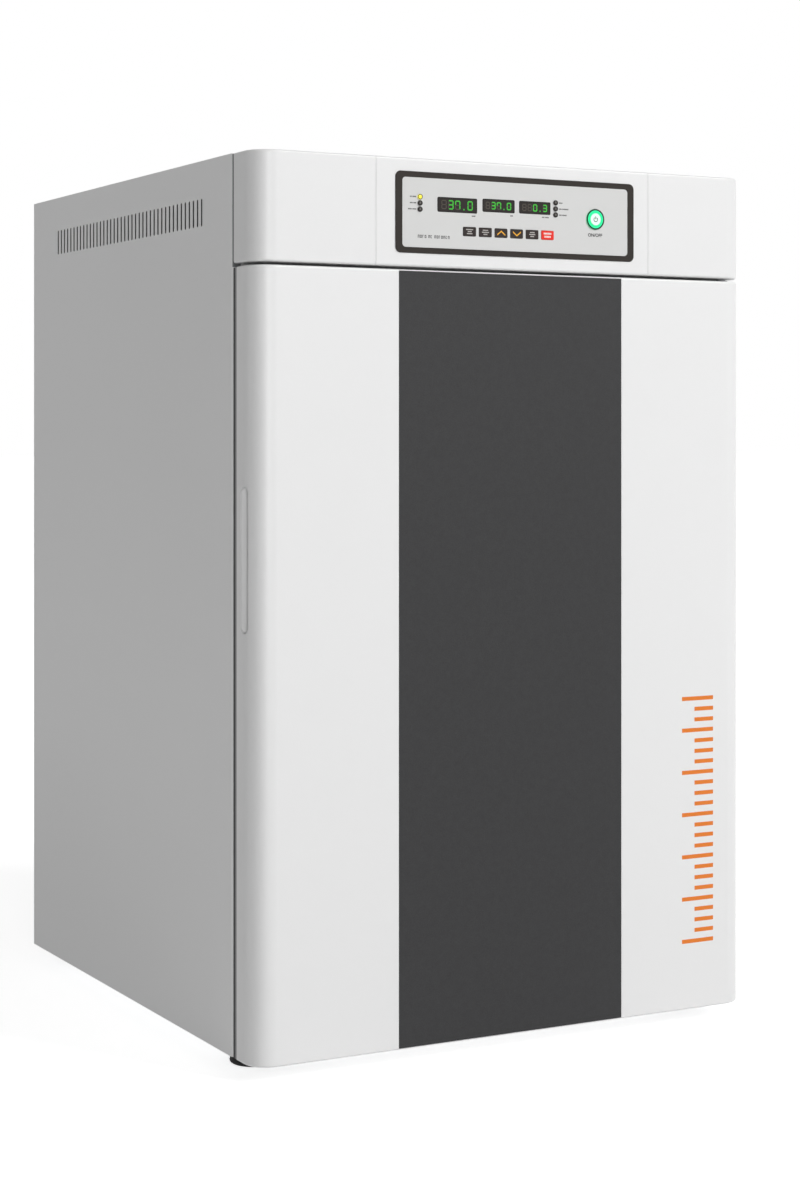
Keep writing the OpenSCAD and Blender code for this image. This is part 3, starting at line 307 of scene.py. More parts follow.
# %% Mouldings, rubber and film
def moulding(name, tone, rough, pitch, depth, coat=0.0, shine=0.5):
    """Plastic with the texture of its tool: pitch grains in a metre, depth in millimetres."""
    plastic = Finish(name, tone, rough, coat=coat, shine=shine)
    plastic.set("Coat Roughness", 0.36)
    spark = plastic.grain(pitch, 2.0)
    cloud = plastic.grain(9, 2.0)
    plastic.set("Roughness", rough - 0.05 + cloud * 0.1)
    plastic.tint([c * 0.95 for c in tone], tone, spark)
    plastic.relief(spark, depth * MM)
    return plastic.material


def rubber(name, tone):
    """Dull elastomer with a bloom of dust in its grain."""
    skin = Finish(name, tone, 0.8, shine=0.3)
    pores = skin.grain(900, 3.0)
    bloom = skin.grain(22, 4.0)
    skin.set("Roughness", 0.68 + bloom * 0.2)
    skin.tint(tone, [c * 1.3 + 0.004 for c in tone], bloom)
    skin.relief(pores, 0.06 * MM)
    return skin.material


white_moulding = moulding("white_moulding", WHITE, 0.4, 1500, 0.01, coat=0.3)
lining_sheet = moulding("lining_sheet", linear(236, 236, 232), 0.3, 300, 0.02, 0.15)
bezel_plastic = moulding("bezel_plastic", linear(42, 37, 33), 0.55, 1800, 0.02, shine=0.2)
dark_plastic = moulding("dark_plastic", linear(44, 45, 48), 0.5, 1500, 0.03)
key_plastic = moulding("key_plastic", linear(44, 37, 35), 0.55, 1800, 0.02, shine=0.2)
red_plastic = moulding("red_plastic", linear(232, 44, 32), 0.5, 1800, 0.02, shine=0.3)
plate_film = moulding("plate_film", linear(211, 211, 210), 0.55, 2200, 0.008)
port_plastic = moulding("port_plastic", linear(226, 224, 214), 0.4, 700, 0.03)
foot_rubber = rubber("foot_rubber", linear(14, 14, 15))
# Mid grey for the strip that paints the shade in the gap beside the door.
lip_rubber = rubber("lip_rubber", linear(74, 74, 75))
# Light grey for the band on the door's rear edge that paints the shade of the gap.
rim_rubber = rubber("rim_rubber", linear(150, 150, 151))
# Dark grey for the walls of the vent slots: painted shade inside the slots.
cut_edge = moulding("cut_edge", linear(58, 58, 58), 0.6, 900, 0.01, shine=0.2)
# Grey of the door seal, also used for a strip that paints the shade in the joint behind the fascia.
seal_rubber = rubber("seal_rubber", linear(112, 113, 115))
pale_rubber = rubber("pale_rubber", linear(190, 190, 186))
print("finishes so far:", len(bpy.data.materials))

# %% [markdown]
# ## The dark front panel
#
# Down the middle of the door runs a panel of coated laminate. Close to, its surface is a fine leather-like
# mottle with a slight sheen, never one flat grey. Two noises at different pitches make the mottle, and they
# also shape the bump, so that the light and dark spots are the tops and hollows of the same texture.

# %% The dark front panel
def laminate(name, tone):
    """Fine-mottled dark laminate."""
    sheet = Finish(name, tone, 0.6, shine=0.28)
    fine = sheet.grain(760, 3.0)
    broad = sheet.grain(150, 2.0)
    mottle = fine * 0.65 + broad * 0.35
    sheet.tint([c * 0.55 for c in tone], [c * 1.5 for c in tone], mottle)
    sheet.set("Roughness", 0.52 + mottle * 0.16)
    sheet.relief(mottle, 0.18 * MM)
    return sheet.material


dark_laminate = laminate("dark_laminate", linear(47, 47, 48))
print("finish:", dark_laminate.name)

# %% [markdown]
# ## Metals
#
# The chamber is brushed stainless steel. Brushing leaves scratches a few hundredths of a millimetre wide
# and many centimetres long, so the noise is squeezed across the grain and left long along it. Plain hidden
# steel is zinc coated: dull, with soft spangles. The gas fittings are machined brass.

# %% Metals
def brushed(name, tone, along):
    """Brushed metal. along is the axis, 0 to 2, in which the scratches run."""
    metal = Finish(name, tone, 0.3, metal=1.0)
    stretch = [1.0, 1.0, 1.0]
    stretch[along] = 0.012
    scratch = metal.grain(1400, 2.0, stretch)
    cloud = metal.grain(7, 2.0)
    metal.set("Roughness", 0.22 + scratch * 0.14 + cloud * 0.05)
    metal.tint([c * 0.86 for c in tone], tone, scratch)
    metal.relief(scratch, 0.015 * MM)
    return metal.material


def spangled(name, tone, rough):
    """Zinc-coated or cast metal with soft patches."""
    metal = Finish(name, tone, rough, metal=1.0)
    patch = metal.node("ShaderNodeTexVoronoi", Vector=metal.place, Scale=90.0)
    metal.set("Roughness", rough + patch * 0.15)
    metal.tint([c * 0.8 for c in tone], tone, patch)
    return metal.material


steel_across = brushed("stainless_brushed_across", linear(205, 207, 209), 0)
steel_upright = brushed("stainless_brushed_upright", linear(205, 207, 209), 2)
zinc = spangled("zinc_coated_steel", linear(176, 178, 180), 0.42)
brass = brushed("machined_brass", linear(206, 172, 104), 1)
print("metals ready")

# %% [markdown]
# ## Lit and clear things
#
# Display segments, the lamp that is on and the ring round the power button give light. An emission colour
# at a strength near one shows that colour as it is written, and doesn't wash out. The glass door transmits
# light, with the slight green of soda-lime glass.

# %% Lit and clear things
def glowing(name, tone, strength):
    """A lens or segment lit from behind, whose roughness a fine grain moves a little."""
    lens = Finish(name, [c * 0.35 for c in tone], 0.3, coat=0.3)
    flicker = lens.grain(1200, 1.0)
    lens.set("Roughness", 0.26 + flicker * 0.08)
    lens.set("Emission Color", (*tone, 1))
    lens.set("Emission Strength", strength)
    return lens.material


def clear_glass(name):
    """Float glass."""
    pane = Finish(name, (0.93, 0.985, 0.965), 0.02)
    smear = pane.grain(14, 3.0)
    pane.set("Roughness", 0.01 + smear * 0.02)
    pane.set("Transmission Weight", 1.0)
    pane.set("IOR", 1.5)
    return pane.material


green_light = glowing("green_segment", linear(46, 186, 34), 0.7)
RING_GREEN = linear(12, 246, 160)
ring_light = glowing("green_ring", RING_GREEN, 0.8)
yellow_light = glowing("yellow_lamp", linear(238, 226, 60), 0.9)
smoked_window = moulding("smoked_window", linear(36, 31, 28), 0.3, 900, 0.004, shine=0.25)
lamp_off = moulding("smoked_lens", linear(50, 46, 44), 0.3, 900, 0.01, shine=0.25)
glass = clear_glass("float_glass")
print("lit finishes:", green_light.name, ring_light.name, yellow_light.name)

# %% [markdown]
# ## Inks and small finishes
#
# Printed marks are a thin layer of ink, dull and slightly uneven. Foam, filter paper and the circuit board
# only show when a cover is off, but each still gets its own skin: foam has closed cells, filter paper has
# fibres, and the board a green lacquer.

# %% Inks and small finishes
def fibrous(name, tone):
    """Pleated glass-fibre paper."""
    paper = Finish(name, tone, 0.85)
    fibre = paper.grain(1600, 3.0, (1, 1, 0.15))
    paper.tint([c * 0.9 for c in tone], tone, fibre)
    paper.relief(fibre, 0.08 * MM)
    return paper.material


def foamed(name, tone):
    """Rigid foam with closed cells of about a millimetre."""
    foam = Finish(name, tone, 0.9)
    cells = foam.node("ShaderNodeTexVoronoi", Vector=foam.place, Scale=700.0)
    foam.tint([c * 0.8 for c in tone], tone, cells)
    foam.relief(cells, 0.3 * MM)
    return foam.material


label_ink = moulding("label_ink", linear(52, 52, 52), 0.6, 2500, 0.004, shine=0.2)
pale_ink = moulding("pale_ink", linear(196, 192, 188), 0.6, 2500, 0.004)
white_ink = moulding("white_ink", linear(246, 236, 232), 0.6, 2500, 0.004)
amber_ink = moulding("amber_ink", linear(240, 172, 30), 0.55, 2500, 0.004)
orange_film = moulding("orange_film", linear(228, 122, 26), 0.45, 2200, 0.006)
ghost_segment = moulding("ghost_segment", linear(72, 66, 60), 0.45, 1500, 0.004, shine=0.2)
# Dark collar round the lamp lenses, and the painted shadow line inside the display windows.
window_rim = moulding("window_rim", linear(26, 22, 20), 0.45, 1500, 0.01, shine=0.2)
# Grey dots on the lenses that are off: a painted highlight on each dome.
lamp_die = moulding("lamp_die", linear(104, 100, 96), 0.45, 1500, 0.004)
outline_dark = moulding("outline_dark", linear(14, 40, 32), 0.5, 1800, 0.01, shine=0.2)
filter_paper = fibrous("filter_paper", linear(240, 240, 234))
cream_foam = foamed("cream_foam", linear(232, 222, 184))
board_green = moulding("board_green", linear(38, 104, 66), 0.3, 260, 0.02, 0.4)
acetal = moulding("acetal", linear(214, 206, 176), 0.42, 1200, 0.01)
print("finishes:", len(bpy.data.materials))

# %% [markdown]
# ## From solids to finished pieces
#
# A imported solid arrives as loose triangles, with edges as sharp as a drawing's. Real edges are never that
# sharp: paint and tools round them by a few tenths of a millimetre, and it is this narrow round that
# catches the light. So a solid that shows is copied, welded, given a small bevel, and shaded with weighted
# normals, which keep the broad faces flat beside it. The copy then stands for the solid.

# %% From solids to finished pieces
slot_of = {part["node"]: part["material_slot"] for part in frame["record"]["subparts"]}
bodies = frame["record"]["behaviour"]["bodies"]
body_of = {node: body for body, nodes in bodies.items() for node in nodes}


def welded(node):
    """A bmesh of a node with its loose triangles joined and its flat faces made whole."""
    work = bmesh.new()
    work.from_mesh(frame["nodes"][node].data)
    bmesh.ops.remove_doubles(work, verts=work.verts, dist=0.002 * MM)
    bmesh.ops.dissolve_limit(work, angle_limit=math.radians(0.5), verts=work.verts, edges=work.edges)
    return work


def piece_from(name, work, *materials):
    """Turns a bmesh into a linked object at the origin."""
    mesh = bpy.data.meshes.new(name)
    work.to_mesh(mesh)
    work.free()
    for material in materials:
        mesh.materials.append(material)
    return linked(name, mesh)


def baked(thing):
    """The mesh that an object shows once its modifiers or its letters are worked out."""
    return bpy.data.meshes.new_from_object(thing.evaluated_get(bpy.context.evaluated_depsgraph_get()))


def soften(piece, edge, crease=25):
    """Bevels the hard edges by edge millimetres and shades the rest smooth."""
    piece.data.polygons.foreach_set("use_smooth", [True] * len(piece.data.polygons))
    piece.data.set_sharp_from_angle(angle=math.radians(crease))
    if edge > 0:
        bevel = piece.modifiers.new("broken_edges", "BEVEL")
        bevel.width = edge * MM
        bevel.segments = 2
        bevel.limit_method = "ANGLE"
        bevel.angle_limit = math.radians(crease)
        even = piece.modifiers.new("even_faces", "WEIGHTED_NORMAL")
        even.keep_sharp = True


def settle(piece, body, slot, *nodes):
    """Says which body carries a piece and which solids it stands for. slot is not used."""
    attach(piece, body)
    if nodes:
        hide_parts(*nodes)
    return piece


def refine(node, material, edge=0.3):
    """A softened copy of a node that stands for it and rides with its body."""
    piece = piece_from(node + "_finished", welded(node), material)
    soften(piece, edge)
    return settle(piece, body_of[node], slot_of[node], node)


print("finish slots:", len(set(slot_of.values())), " moving bodies:", len(bodies))

# %% [markdown]
# ## Solids that share a node
#
# Equal small pieces share one node: three displays, six lamps, eight screws. What is printed on them or set
# into them needs the place of each. No edge joins two solids, so a walk from vertex to vertex along the
# edges stays inside one of them, and the box of all that it meets is the box of that solid.

# %% Solids that share a node
def solids_in(node):
    """Boxes of the solids in a node, as (low, high), column by column from the left, each from the top."""
    work = welded(node)
    left = set(work.verts)
    boxes = []
    while left:
        front = [left.pop()]
        found = []
        while front:
            vert = front.pop()
            found.append(vert.co.copy())
            for edge in vert.link_edges:
                other = edge.other_vert(vert)
                if other in left:
                    left.remove(other)
                    front.append(other)
        low = Vector([min(co[i] for co in found) for i in range(3)])
        high = Vector([max(co[i] for co in found) for i in range(3)])
        boxes.append((low, high))
    work.free()
    return sorted(boxes, key=lambda b: (round(b[0].x, 3), -round(b[0].z, 4)))


displays = solids_in("displays")
lamps = solids_in("indicator_lamps")
print("displays:", len(displays), " lamps:", len(lamps))

# %% [markdown]
# ## Sheet metal and mouldings
#
# The width of the bevel follows the process: folded and coated sheet has about 0.3 mm, a moulding 0.4 mm.
# The perforated shelves have some hundred holes each, so they keep their sharp edges and save faces. The
# walls of the vent slots get a dark finish that paints the shade inside the slots, so they read as dark
# lines from the side.

# %% Sheet metal and mouldings
BORDER = 20 * MM


def bare_slots(piece):
    """Puts a dark finish, painted shade, on the walls of openings that lie well inside an upright side
    panel.
    """
    low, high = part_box("side_panel_left")
    piece.data.materials.append(cut_edge)
    for face in piece.data.polygons:
        inside = all(low[i] + BORDER < face.center[i] < high[i] - BORDER for i in (1, 2))
        if inside and abs(face.normal.x) < 0.5:
            face.material_index = 1


bare_slots(refine("side_panel_left", white_paint, 0.2))
bare_slots(refine("side_panel_right", white_paint, 0.2))
for node in ("top_cover", "rear_panel", "front_frame"):
    refine(node, white_paint)
shell = refine("door_shell", white_paint)
for node in ("fascia_end_left", "fascia_centre", "fascia_end_right", "door_grip_cup"):
    refine(node, white_moulding)
refine("door_front_panel", dark_laminate)
refine("door_liner", lining_sheet, 0.8)
refine("door_hinge_brackets", zinc)
refine("base_pan", zinc, 0.2)
for node in ("chamber_liner", "shelf_rack_left", "shelf_rack_right", "fan_cover", "water_pan"):
    refine(node, steel_upright, 0.2)
for node in ("shelf_1", "shelf_2", "shelf_3"):
    refine(node, steel_across, 0.0)
for node in ("inner_door_hinges", "inner_door_brackets", "temperature_probe"):
    refine(node, steel_upright, 0.2)
print("sheet metal dressed")

# %% [markdown]
# ## Glass, rubber and fittings
#
# Glass has a fine ground arris, rubber is round by a full millimetre, and turned brass keeps crisp edges.
# What lies deep inside only needs its material on the solid itself.

# %% Glass, rubber and fittings
refine("inner_door_glass", glass)
refine("inner_door_knob", dark_plastic)
refine("inner_door_gasket", pale_rubber, 0.4)
refine("feet", foot_rubber, 0.8)
refine("port_tube", port_plastic)
refine("port_stopper", pale_rubber, 0.8)
refine("power_inlet", dark_plastic)
refine("co2_inlet", brass, 0.2)
refine("co2_sensor", dark_plastic)
refine("fan_impeller", dark_plastic, 0.2)
refine("hepa_filter", filter_paper, 0.0)
plain_inside = {
    "insulation": cream_foam, "door_foam": cream_foam, "electronics_deck": zinc, "fan_motor": zinc,
    "foot_screws": zinc, "power_supply": zinc, "gas_valve": brass, "door_bushes": acetal,
    "control_board": board_green,
}
for node, material in plain_inside.items():
    skins = frame["nodes"][node].data.materials
    skins.clear()
    skins.append(material)
print("inside pieces:", len(plain_inside))

# %% [markdown]
# ## Flat marks
#
# Segments, legends and labels are all thin flat shapes in the plane of the front. Each could be an image,
# but shapes stay crisp at any distance and can be moved on their own. An outline is a list of (x, z) points
# that runs anticlockwise as one faces it, and flat_piece makes a thin slab of every outline it gets.

# %% Flat marks
def flat_piece(name, outlines, front, depth, material):
    """Slabs whose face lies at y = front and whose back lies depth behind it."""
    work = bmesh.new()
    for outline in outlines:
        face = [work.verts.new((x, front, z)) for x, z in outline]
        back = [work.verts.new((x, front + depth, z)) for x, z in outline]
        work.faces.new(face)
        work.faces.new(list(reversed(back)))
        for i in range(len(face)):
            j = (i + 1) % len(face)
            work.faces.new((face[j], face[i], back[i], back[j]))
    bmesh.ops.recalc_face_normals(work, faces=work.faces)
    return piece_from(name, work, material)


def mark(name, outlines, front, depth, material, slot, body="cabinet"):
    """A flat piece that rides on a body."""
    settle(flat_piece(name, outlines, front, depth, material), body, slot)


def bar(x, z, wide, high):
    """Rectangle about a middle."""
    a, b = wide / 2, high / 2
    return [(x - a, z - b), (x + a, z - b), (x + a, z + b), (x - a, z + b)]


def arc_band(x, z, inner, outer, start, stop, steps):
    """Pieces of a ring between two angles in degrees, counted anticlockwise from the right."""
    bands = []
    for i in range(steps):
        a = math.radians(start + (stop - start) * i / steps)
        b = math.radians(start + (stop - start) * (i + 1) / steps)
        bands.append([(x + r * math.cos(t), z + r * math.sin(t)) for r, t in
                      ((inner, a), (outer, a), (outer, b), (inner, b))])
    return bands


PROUD = 0.03 * MM
INK_DEPTH = 0.05 * MM
print("print stands", round(PROUD / MM, 2), "mm proud")

# %% [markdown]
# ## Rows of blocks for words
#
# Captions as fine as these are only groups of small marks of one height at this distance. So each letter is
# a block, or a hollow block with one or two open sides where the type is large and thin. Words differ in
# the number of their blocks.

# %% Rows of blocks for words
BLOCK = 0.62
BLOCK_PITCH = 0.86
WORD_SPACE = 0.56


def word_blocks(x, z, high, words, from_right=False, open_stroke=0.0):
    """A row of letter-like blocks from one end x about the height z, hollow where open_stroke is given.

    words gives the number of blocks in each word. Widths are shares of the height."""
    places = []
    cursor = 0.0
    for blocks in words:
        places += [(cursor + i * BLOCK_PITCH + BLOCK / 2) * high for i in range(blocks)]
        cursor += blocks * BLOCK_PITCH + WORD_SPACE
    length = (cursor - WORD_SPACE - BLOCK_PITCH + BLOCK) * high
    start = x - length if from_right else x
    if not open_stroke:
        return [bar(start + at, z, BLOCK * high, high) for at in places]
    beside = (BLOCK * high - open_stroke) / 2
    above = (high - open_stroke) / 2
    strokes = []
    for number, at in enumerate(places):
        for side in (-1, 1) if number % 3 < 2 else (-1,):
            strokes.append(bar(start + at + side * beside, z, open_stroke, high))
        for side in (1, -1) if number % 2 else (1,):
            strokes.append(bar(start + at, z + side * above, BLOCK * high - 2 * open_stroke, open_stroke))
    return strokes


print("two words of three letters:", len(word_blocks(0, 0, 3 * MM, (3, 3))), "blocks")

# %% [markdown]
# ## One shape at many places
#
# Geometry Nodes repeat one shape at many places. A small tree sets a pattern out on the points of a mesh,
# turned and stretched by two attributes of each point. It ends in Realize Instances and Set Material, and
# the result is turned into a plain mesh at once.

# %% One shape at many places
def start_tree(name, **kinds):
    """A geometry graph with named inputs, and a function that reads one of them."""
    graph = Graph(bpy.data.node_groups.new(name, "GeometryNodeTree"))
    sockets = graph.tree.interface
    for label, kind in {"Geometry": "Geometry", **kinds, "Finish": "Material"}.items():
        sockets.new_socket(label, in_out="INPUT", socket_type="NodeSocket" + kind)
    sockets.new_socket("Geometry", in_out="OUTPUT", socket_type="NodeSocketGeometry")
    return graph, lambda label: graph.node("NodeGroupInput", out=label)


def finish_tree(graph, given, shape):
    """Closes a tree: real geometry, its material, and the way out."""
    real = graph.node("GeometryNodeRealizeInstances", Geometry=shape)
    painted = graph.node("GeometryNodeSetMaterial", Geometry=real, Material=given("Finish"))
    graph.node("NodeGroupOutput", Geometry=painted)
    return graph.tree


def set_out_tree():
    """Sets a pattern out on points."""
    graph, given = start_tree("set_out", Pattern="Object", Size="Float")
    pattern = graph.node("GeometryNodeObjectInfo", out="Geometry", Object=given("Pattern"))
    turn, stretch = (graph.node("GeometryNodeInputNamedAttribute", {"data_type": "FLOAT_VECTOR"},
                                out="Attribute", Name=label) for label in ("turn", "stretch"))
    rotation = graph.node("FunctionNodeEulerToRotation", Euler=turn)
    scale = graph.node("ShaderNodeVectorMath", {"operation": "SCALE"}, (stretch,), Scale=given("Size"))
    copies = graph.node("GeometryNodeInstanceOnPoints", Points=given("Geometry"), Instance=pattern,
                        Rotation=rotation, Scale=scale)
    return finish_tree(graph, given, copies)


SET_OUT = set_out_tree()


def run_tree(name, carrier, tree, values, helpers):
    """Runs a tree on a carrier, keeps the result as a plain piece and clears the helpers away."""
    modifier = carrier.modifiers.new(tree.name, "NODES")
    modifier.node_group = tree
    for item in tree.interface.items_tree:
        if item.in_out == "INPUT" and item.name in values:
            modifier[item.identifier] = values[item.name]
    mesh = baked(carrier)
    mesh.name = name
    carrier.modifiers.clear()
    for helper in (carrier, *helpers):
        bpy.data.objects.remove(helper)
    return linked(name, mesh)


def set_out(name, pattern, places, material, size=1.0):
    """Copies pattern to each place, given as (location, turn, stretch)."""
    mesh = bpy.data.meshes.new("places")
    mesh.from_pydata([tuple(place[0]) for place in places], [], [])
    for index, label in ((1, "turn"), (2, "stretch")):
        layer = mesh.attributes.new(label, "FLOAT_VECTOR", "POINT")
        layer.data.foreach_set("vector", [c for place in places for c in place[index]])
    values = {"Pattern": pattern, "Size": size, "Finish": material}
    return run_tree(name, linked("places", mesh), SET_OUT, values, [pattern])


print("tree:", SET_OUT.name, "with", len(SET_OUT.nodes), "nodes")

# %% [markdown]
# ## The display digits
#
# A seven-segment digit is seven bars with pointed ends, moulded into the window. Unlit segments still show
# as faint shapes. So every digit place gets a full faint figure, and lit segments lie over it. One
# hexagonal bar is set out by the tree, upright or lying, at the seven places of the figure. The readings
# are the ones that such a chamber shows at work: degrees for culture, twice, and a small percentage.

# %% The display digits
SEGMENT_PLACES = {
    "a": (0, 1, 0), "b": (0.5, 0.5, 90), "c": (0.5, -0.5, 90), "d": (0, -1, 0),
    "e": (-0.5, -0.5, 90), "f": (-0.5, 0.5, 90), "g": (0, 0, 0),
}
FIGURES = {"0": "abcdef", "3": "abcdg", "7": "abcf", "8": "abcdefg", " ": ""}
READINGS = [" 37.0", " 37.0", "  0.3"]
FIRST_DIGIT = 0.165
DIGIT_PITCH = 0.172
POINT_PITCH = 0.14
POINT_SIDE = 0.09
FIGURE_SIZES = [(0.108, 0.275), (0.108, 0.245), (0.108, 0.245)]
BAR_LENGTH = 4 * MM
STROKE = 1.2 * MM
LIT_PROUD = 0.06 * MM


def segment_bar():
    """One segment of BAR_LENGTH that lies along x, pointed at both ends."""
    a, b = BAR_LENGTH / 2, STROKE / 2
    outline = [(-a, 0), (-a + b, -b), (a - b, -b), (a, 0), (a - b, b), (-a + b, b)]
    return flat_piece("segment", [outline], 0, 0.04 * MM, green_light)


def digit_places(window, figure_size, reading, lit, nearer):
    """Where segments go in one window: the lit ones, or all of them. Sizes are shares of the window."""
    low, high = window
    wide, tall = high.x - low.x, high.z - low.z
    width, height = wide * figure_size[0], tall * figure_size[1]
    x = low.x + wide * FIRST_DIGIT
    places = []
    for sign in reading:
        if sign == ".":
            x += wide * POINT_PITCH
            continue
        for segment in FIGURES[sign] if lit else FIGURES["8"]:
            right, up, turn = SEGMENT_PLACES[segment]
            spot = (x + right * width, low.y - nearer, (low.z + high.z) / 2 + up * height)
            length = height if turn else width
            places.append((spot, (0, math.radians(turn), 0), (length / BAR_LENGTH, 1, 1)))
        x += wide * DIGIT_PITCH
    return places


unlit = []
alight = []
points = []
for window, figure_size, reading in zip(displays, FIGURE_SIZES, READINGS):
    unlit += digit_places(window, figure_size, reading, False, PROUD)
    alight += digit_places(window, figure_size, reading, True, LIT_PROUD)
    low, high = window
    wide, tall = high.x - low.x, high.z - low.z
    share = FIRST_DIGIT + DIGIT_PITCH * (reading.index(".") - 1) + (DIGIT_PITCH + POINT_PITCH) / 2
    side = tall * POINT_SIDE
    points.append(bar(low.x + wide * share, (low.z + high.z) / 2 - tall * figure_size[1], side, side))

ghosts = set_out("display_ghost_segments", segment_bar(), unlit, ghost_segment)
settle(ghosts, "cabinet", "display_window")
settle(set_out("display_lit_segments", segment_bar(), alight, green_light), "cabinet", "lamp_lens")
WINDOW = displays[0][0].y
mark("display_points", points, WINDOW - LIT_PROUD, INK_DEPTH, green_light, "lamp_lens")
print("segments:", len(unlit), "places,", len(alight), "lit")

# %% [markdown]
# ## The frames of the windows
#
# Each window lies in an opening of the plate with round corners, although its own solid is a plain box.
# Small fans in the colour of the plate cover the corners of the glass, and a dark band painted along its
# inside stands for the shadow line of the opening.

# %% The frames of the windows
CORNER_STEPS = 5


def corner_fans(low, high, inset, radius):
    """Fills the corners of a box, drawn in by inset, outside an arc of the given radius."""
    fans = []
    angles = [math.pi / 2 * i / CORNER_STEPS for i in range(CORNER_STEPS + 1)]
    for x, z, right, up in ((low.x, low.z, 1, 1), (high.x, low.z, -1, 1),
                            (high.x, high.z, -1, -1), (low.x, high.z, 1, -1)):
        x += right * inset
        z += up * inset
        arc = [(x + right * radius * (1 - math.cos(a)), z + up * radius * (1 - math.sin(a)))
               for a in angles]
        fans += [[(x, z), start, stop] for start, stop in zip(arc, arc[1:])]
    return fans


def frame_band(low, high, wide, radius):
    """Pieces of a frame along the inside of a box, round at its inner corners."""
    middle = (low + high) / 2
    across, upright = high.x - low.x, high.z - low.z - 2 * wide
    return [bar(middle.x, low.z + wide / 2, across, wide), bar(middle.x, high.z - wide / 2, across, wide),
            bar(low.x + wide / 2, middle.z, wide, upright), bar(high.x - wide / 2, middle.z, wide, upright),
            *corner_fans(low, high, wide, radius)]


# Painted shadow: a dark band along the inside of each window.
shadow_line_bands = [band for low, high in displays for band in frame_band(low, high, 1.1 * MM, 0.9 * MM)]
mark("display_rims", shadow_line_bands, WINDOW - 0.02 * MM, 0.03 * MM, window_rim, "display_window")
fans = [fan for low, high in displays for fan in corner_fans(low, high, -0.1 * MM, 1.6 * MM)]
mark("display_corners", fans, WINDOW - 0.05 * MM, 0.2 * MM, plate_film, "overlay_grey")
print("pieces of rim:", len(shadow_line_bands), " of corners:", len(fans))

# %% [markdown]
# ## The lamps
#
# Five lamps are off and one is lit, although all six are one solid node, so the lit one gets its own
# material by the place of its faces. A dark collar rings each lens, and a grey dot painted in the middle
# of each lens that is off stands for the highlight on its dome.

# %% The lamps
lenses = piece_from("indicator_lamps_finished", welded("indicator_lamps"), lamp_off, yellow_light)
low, high = lamps[0]
for face in lenses.data.polygons:
    if low.x <= face.center.x <= high.x and low.z <= face.center.z <= high.z:
        face.material_index = 1
soften(lenses, 0.0)
settle(lenses, "cabinet", "lamp_lens", "indicator_lamps")
lamp_middles = [(low + high) / 2 for low, high in lamps]
lamp_rims = [band for m in lamp_middles for band in arc_band(m.x, m.z, 2.1 * MM, 2.75 * MM, 0, 360, 20)]
# Painted highlight: a grey dot in the middle of each lens that is off.
dome_highlights = [band for m in lamp_middles[1:] for band in arc_band(m.x, m.z, 0.05 * MM, 0.85 * MM, 0, 360, 12)]
lens_mark_front = lamps[0][0].y - 0.04 * MM
mark("lamp_dies", dome_highlights, lens_mark_front, INK_DEPTH, lamp_die, "lamp_lens")
mark("lamp_rims", lamp_rims, lens_mark_front, INK_DEPTH, window_rim, "lamp_lens")
print("lamps lit: 1 of", len(lamps))

# %% [markdown]
# ## The keys
#
# A key is a printed cap. Rows of fine blocks stand for its words, and chevrons for up and down. The print
# is a piece of its own that rides on the same body as its cap, so it goes down with the key.

# %% The keys
def chevron(x, z, wide, high, stroke, up):
    """Two slanted strokes that meet in a point above or below."""
    tip = 1 if up else -1
    strokes = []
    for side in (-1, 1):
        foot = (x + side * wide / 2, z - tip * high / 2)
        peak = (x, z + tip * high / 2)
        lower = [foot, peak, (peak[0], peak[1] + stroke), (foot[0], foot[1] + stroke)]
        strokes.append(lower if side < 0 else list(reversed(lower)))
    return strokes


def key_legend(number, outlines, material):
    """Printed shapes on one key, which ride on its cap."""
    key = "key_" + str(number)
    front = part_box(key)[0].y - PROUD
    mark("key_legend_" + str(number), outlines, front, INK_DEPTH, material, slot_of[key], body_of[key])


def word_rows(number, counts, pitch, high):
    """Rows of letter-like blocks about the middle of a key. counts holds the blocks of each row."""
    middle = centre_of("key_" + str(number))
    top = middle.z + pitch * (len(counts) - 1) / 2
    return [block for i, count in enumerate(counts) for block in
            word_blocks(middle.x - count * high * BLOCK_PITCH / 2, top - i * pitch, high, (count,))]


for number in range(1, 6):
    refine("key_" + str(number), key_plastic, 0.25)
refine("key_6", red_plastic, 0.25)
for number, counts in ((1, (9, 5, 7)), (2, (7, 9, 5)), (5, (6, 8, 5))):
    key_legend(number, word_rows(number, counts, 2.1 * MM, 1.1 * MM), pale_ink)
key_legend(6, word_rows(6, (6, 5), 3.3 * MM, 1.9 * MM), white_ink)
for number, up in ((3, True), (4, False)):
    middle = centre_of("key_" + str(number))
    strokes = chevron(middle.x, middle.z - 0.8 * MM, 9.6 * MM, 3.8 * MM, 1.5 * MM, up)
    key_legend(number, strokes, amber_ink)
print("keys: 6")

# %% [markdown]
# ## The power button
#
# The power button is a white cap in a lit ring. Light from the ring spills into the rim of the cap, which
# is painted into its colour as a radial mix of white and green, and a faint green glow is painted over the
# whole cap. A thin dark line outlines the ring, and a plain power sign marks the cap.

# %% The power button
CAP_WHITE = (0.9, 0.93, 0.92)


def cap_finish(name, x, z, clear, edge):
    """White cap with the ring's green light painted into its rim between the radii clear and edge."""
    cap = Finish(name, CAP_WHITE, 0.3, coat=0.3)
    where = cap.node("ShaderNodeMapping", Vector=cap.place, Location=(-x, 0, -z))
    flat = cap.node("ShaderNodeMapping", Vector=where, Scale=(1, 0, 1))
    radius = cap.node("ShaderNodeVectorMath", {"operation": "LENGTH"}, out="Value", Vector=flat)
    spill = cap.node("ShaderNodeMapRange", {"interpolation_type": "SMOOTHSTEP"}, Value=radius,
                     From_Min=clear, From_Max=edge)
    spark = cap.grain(1500, 1.0)
    cap.tint(CAP_WHITE, RING_GREEN, spill)
    cap.set("Roughness", 0.28 + spark * 0.06)
    # Painted glow: a faint green emission over the whole cap, which is no lamp itself.
    cap.set("Emission Color", (*linear(60, 250, 180), 1))
    cap.set("Emission Strength", 0.15)
    return cap.material


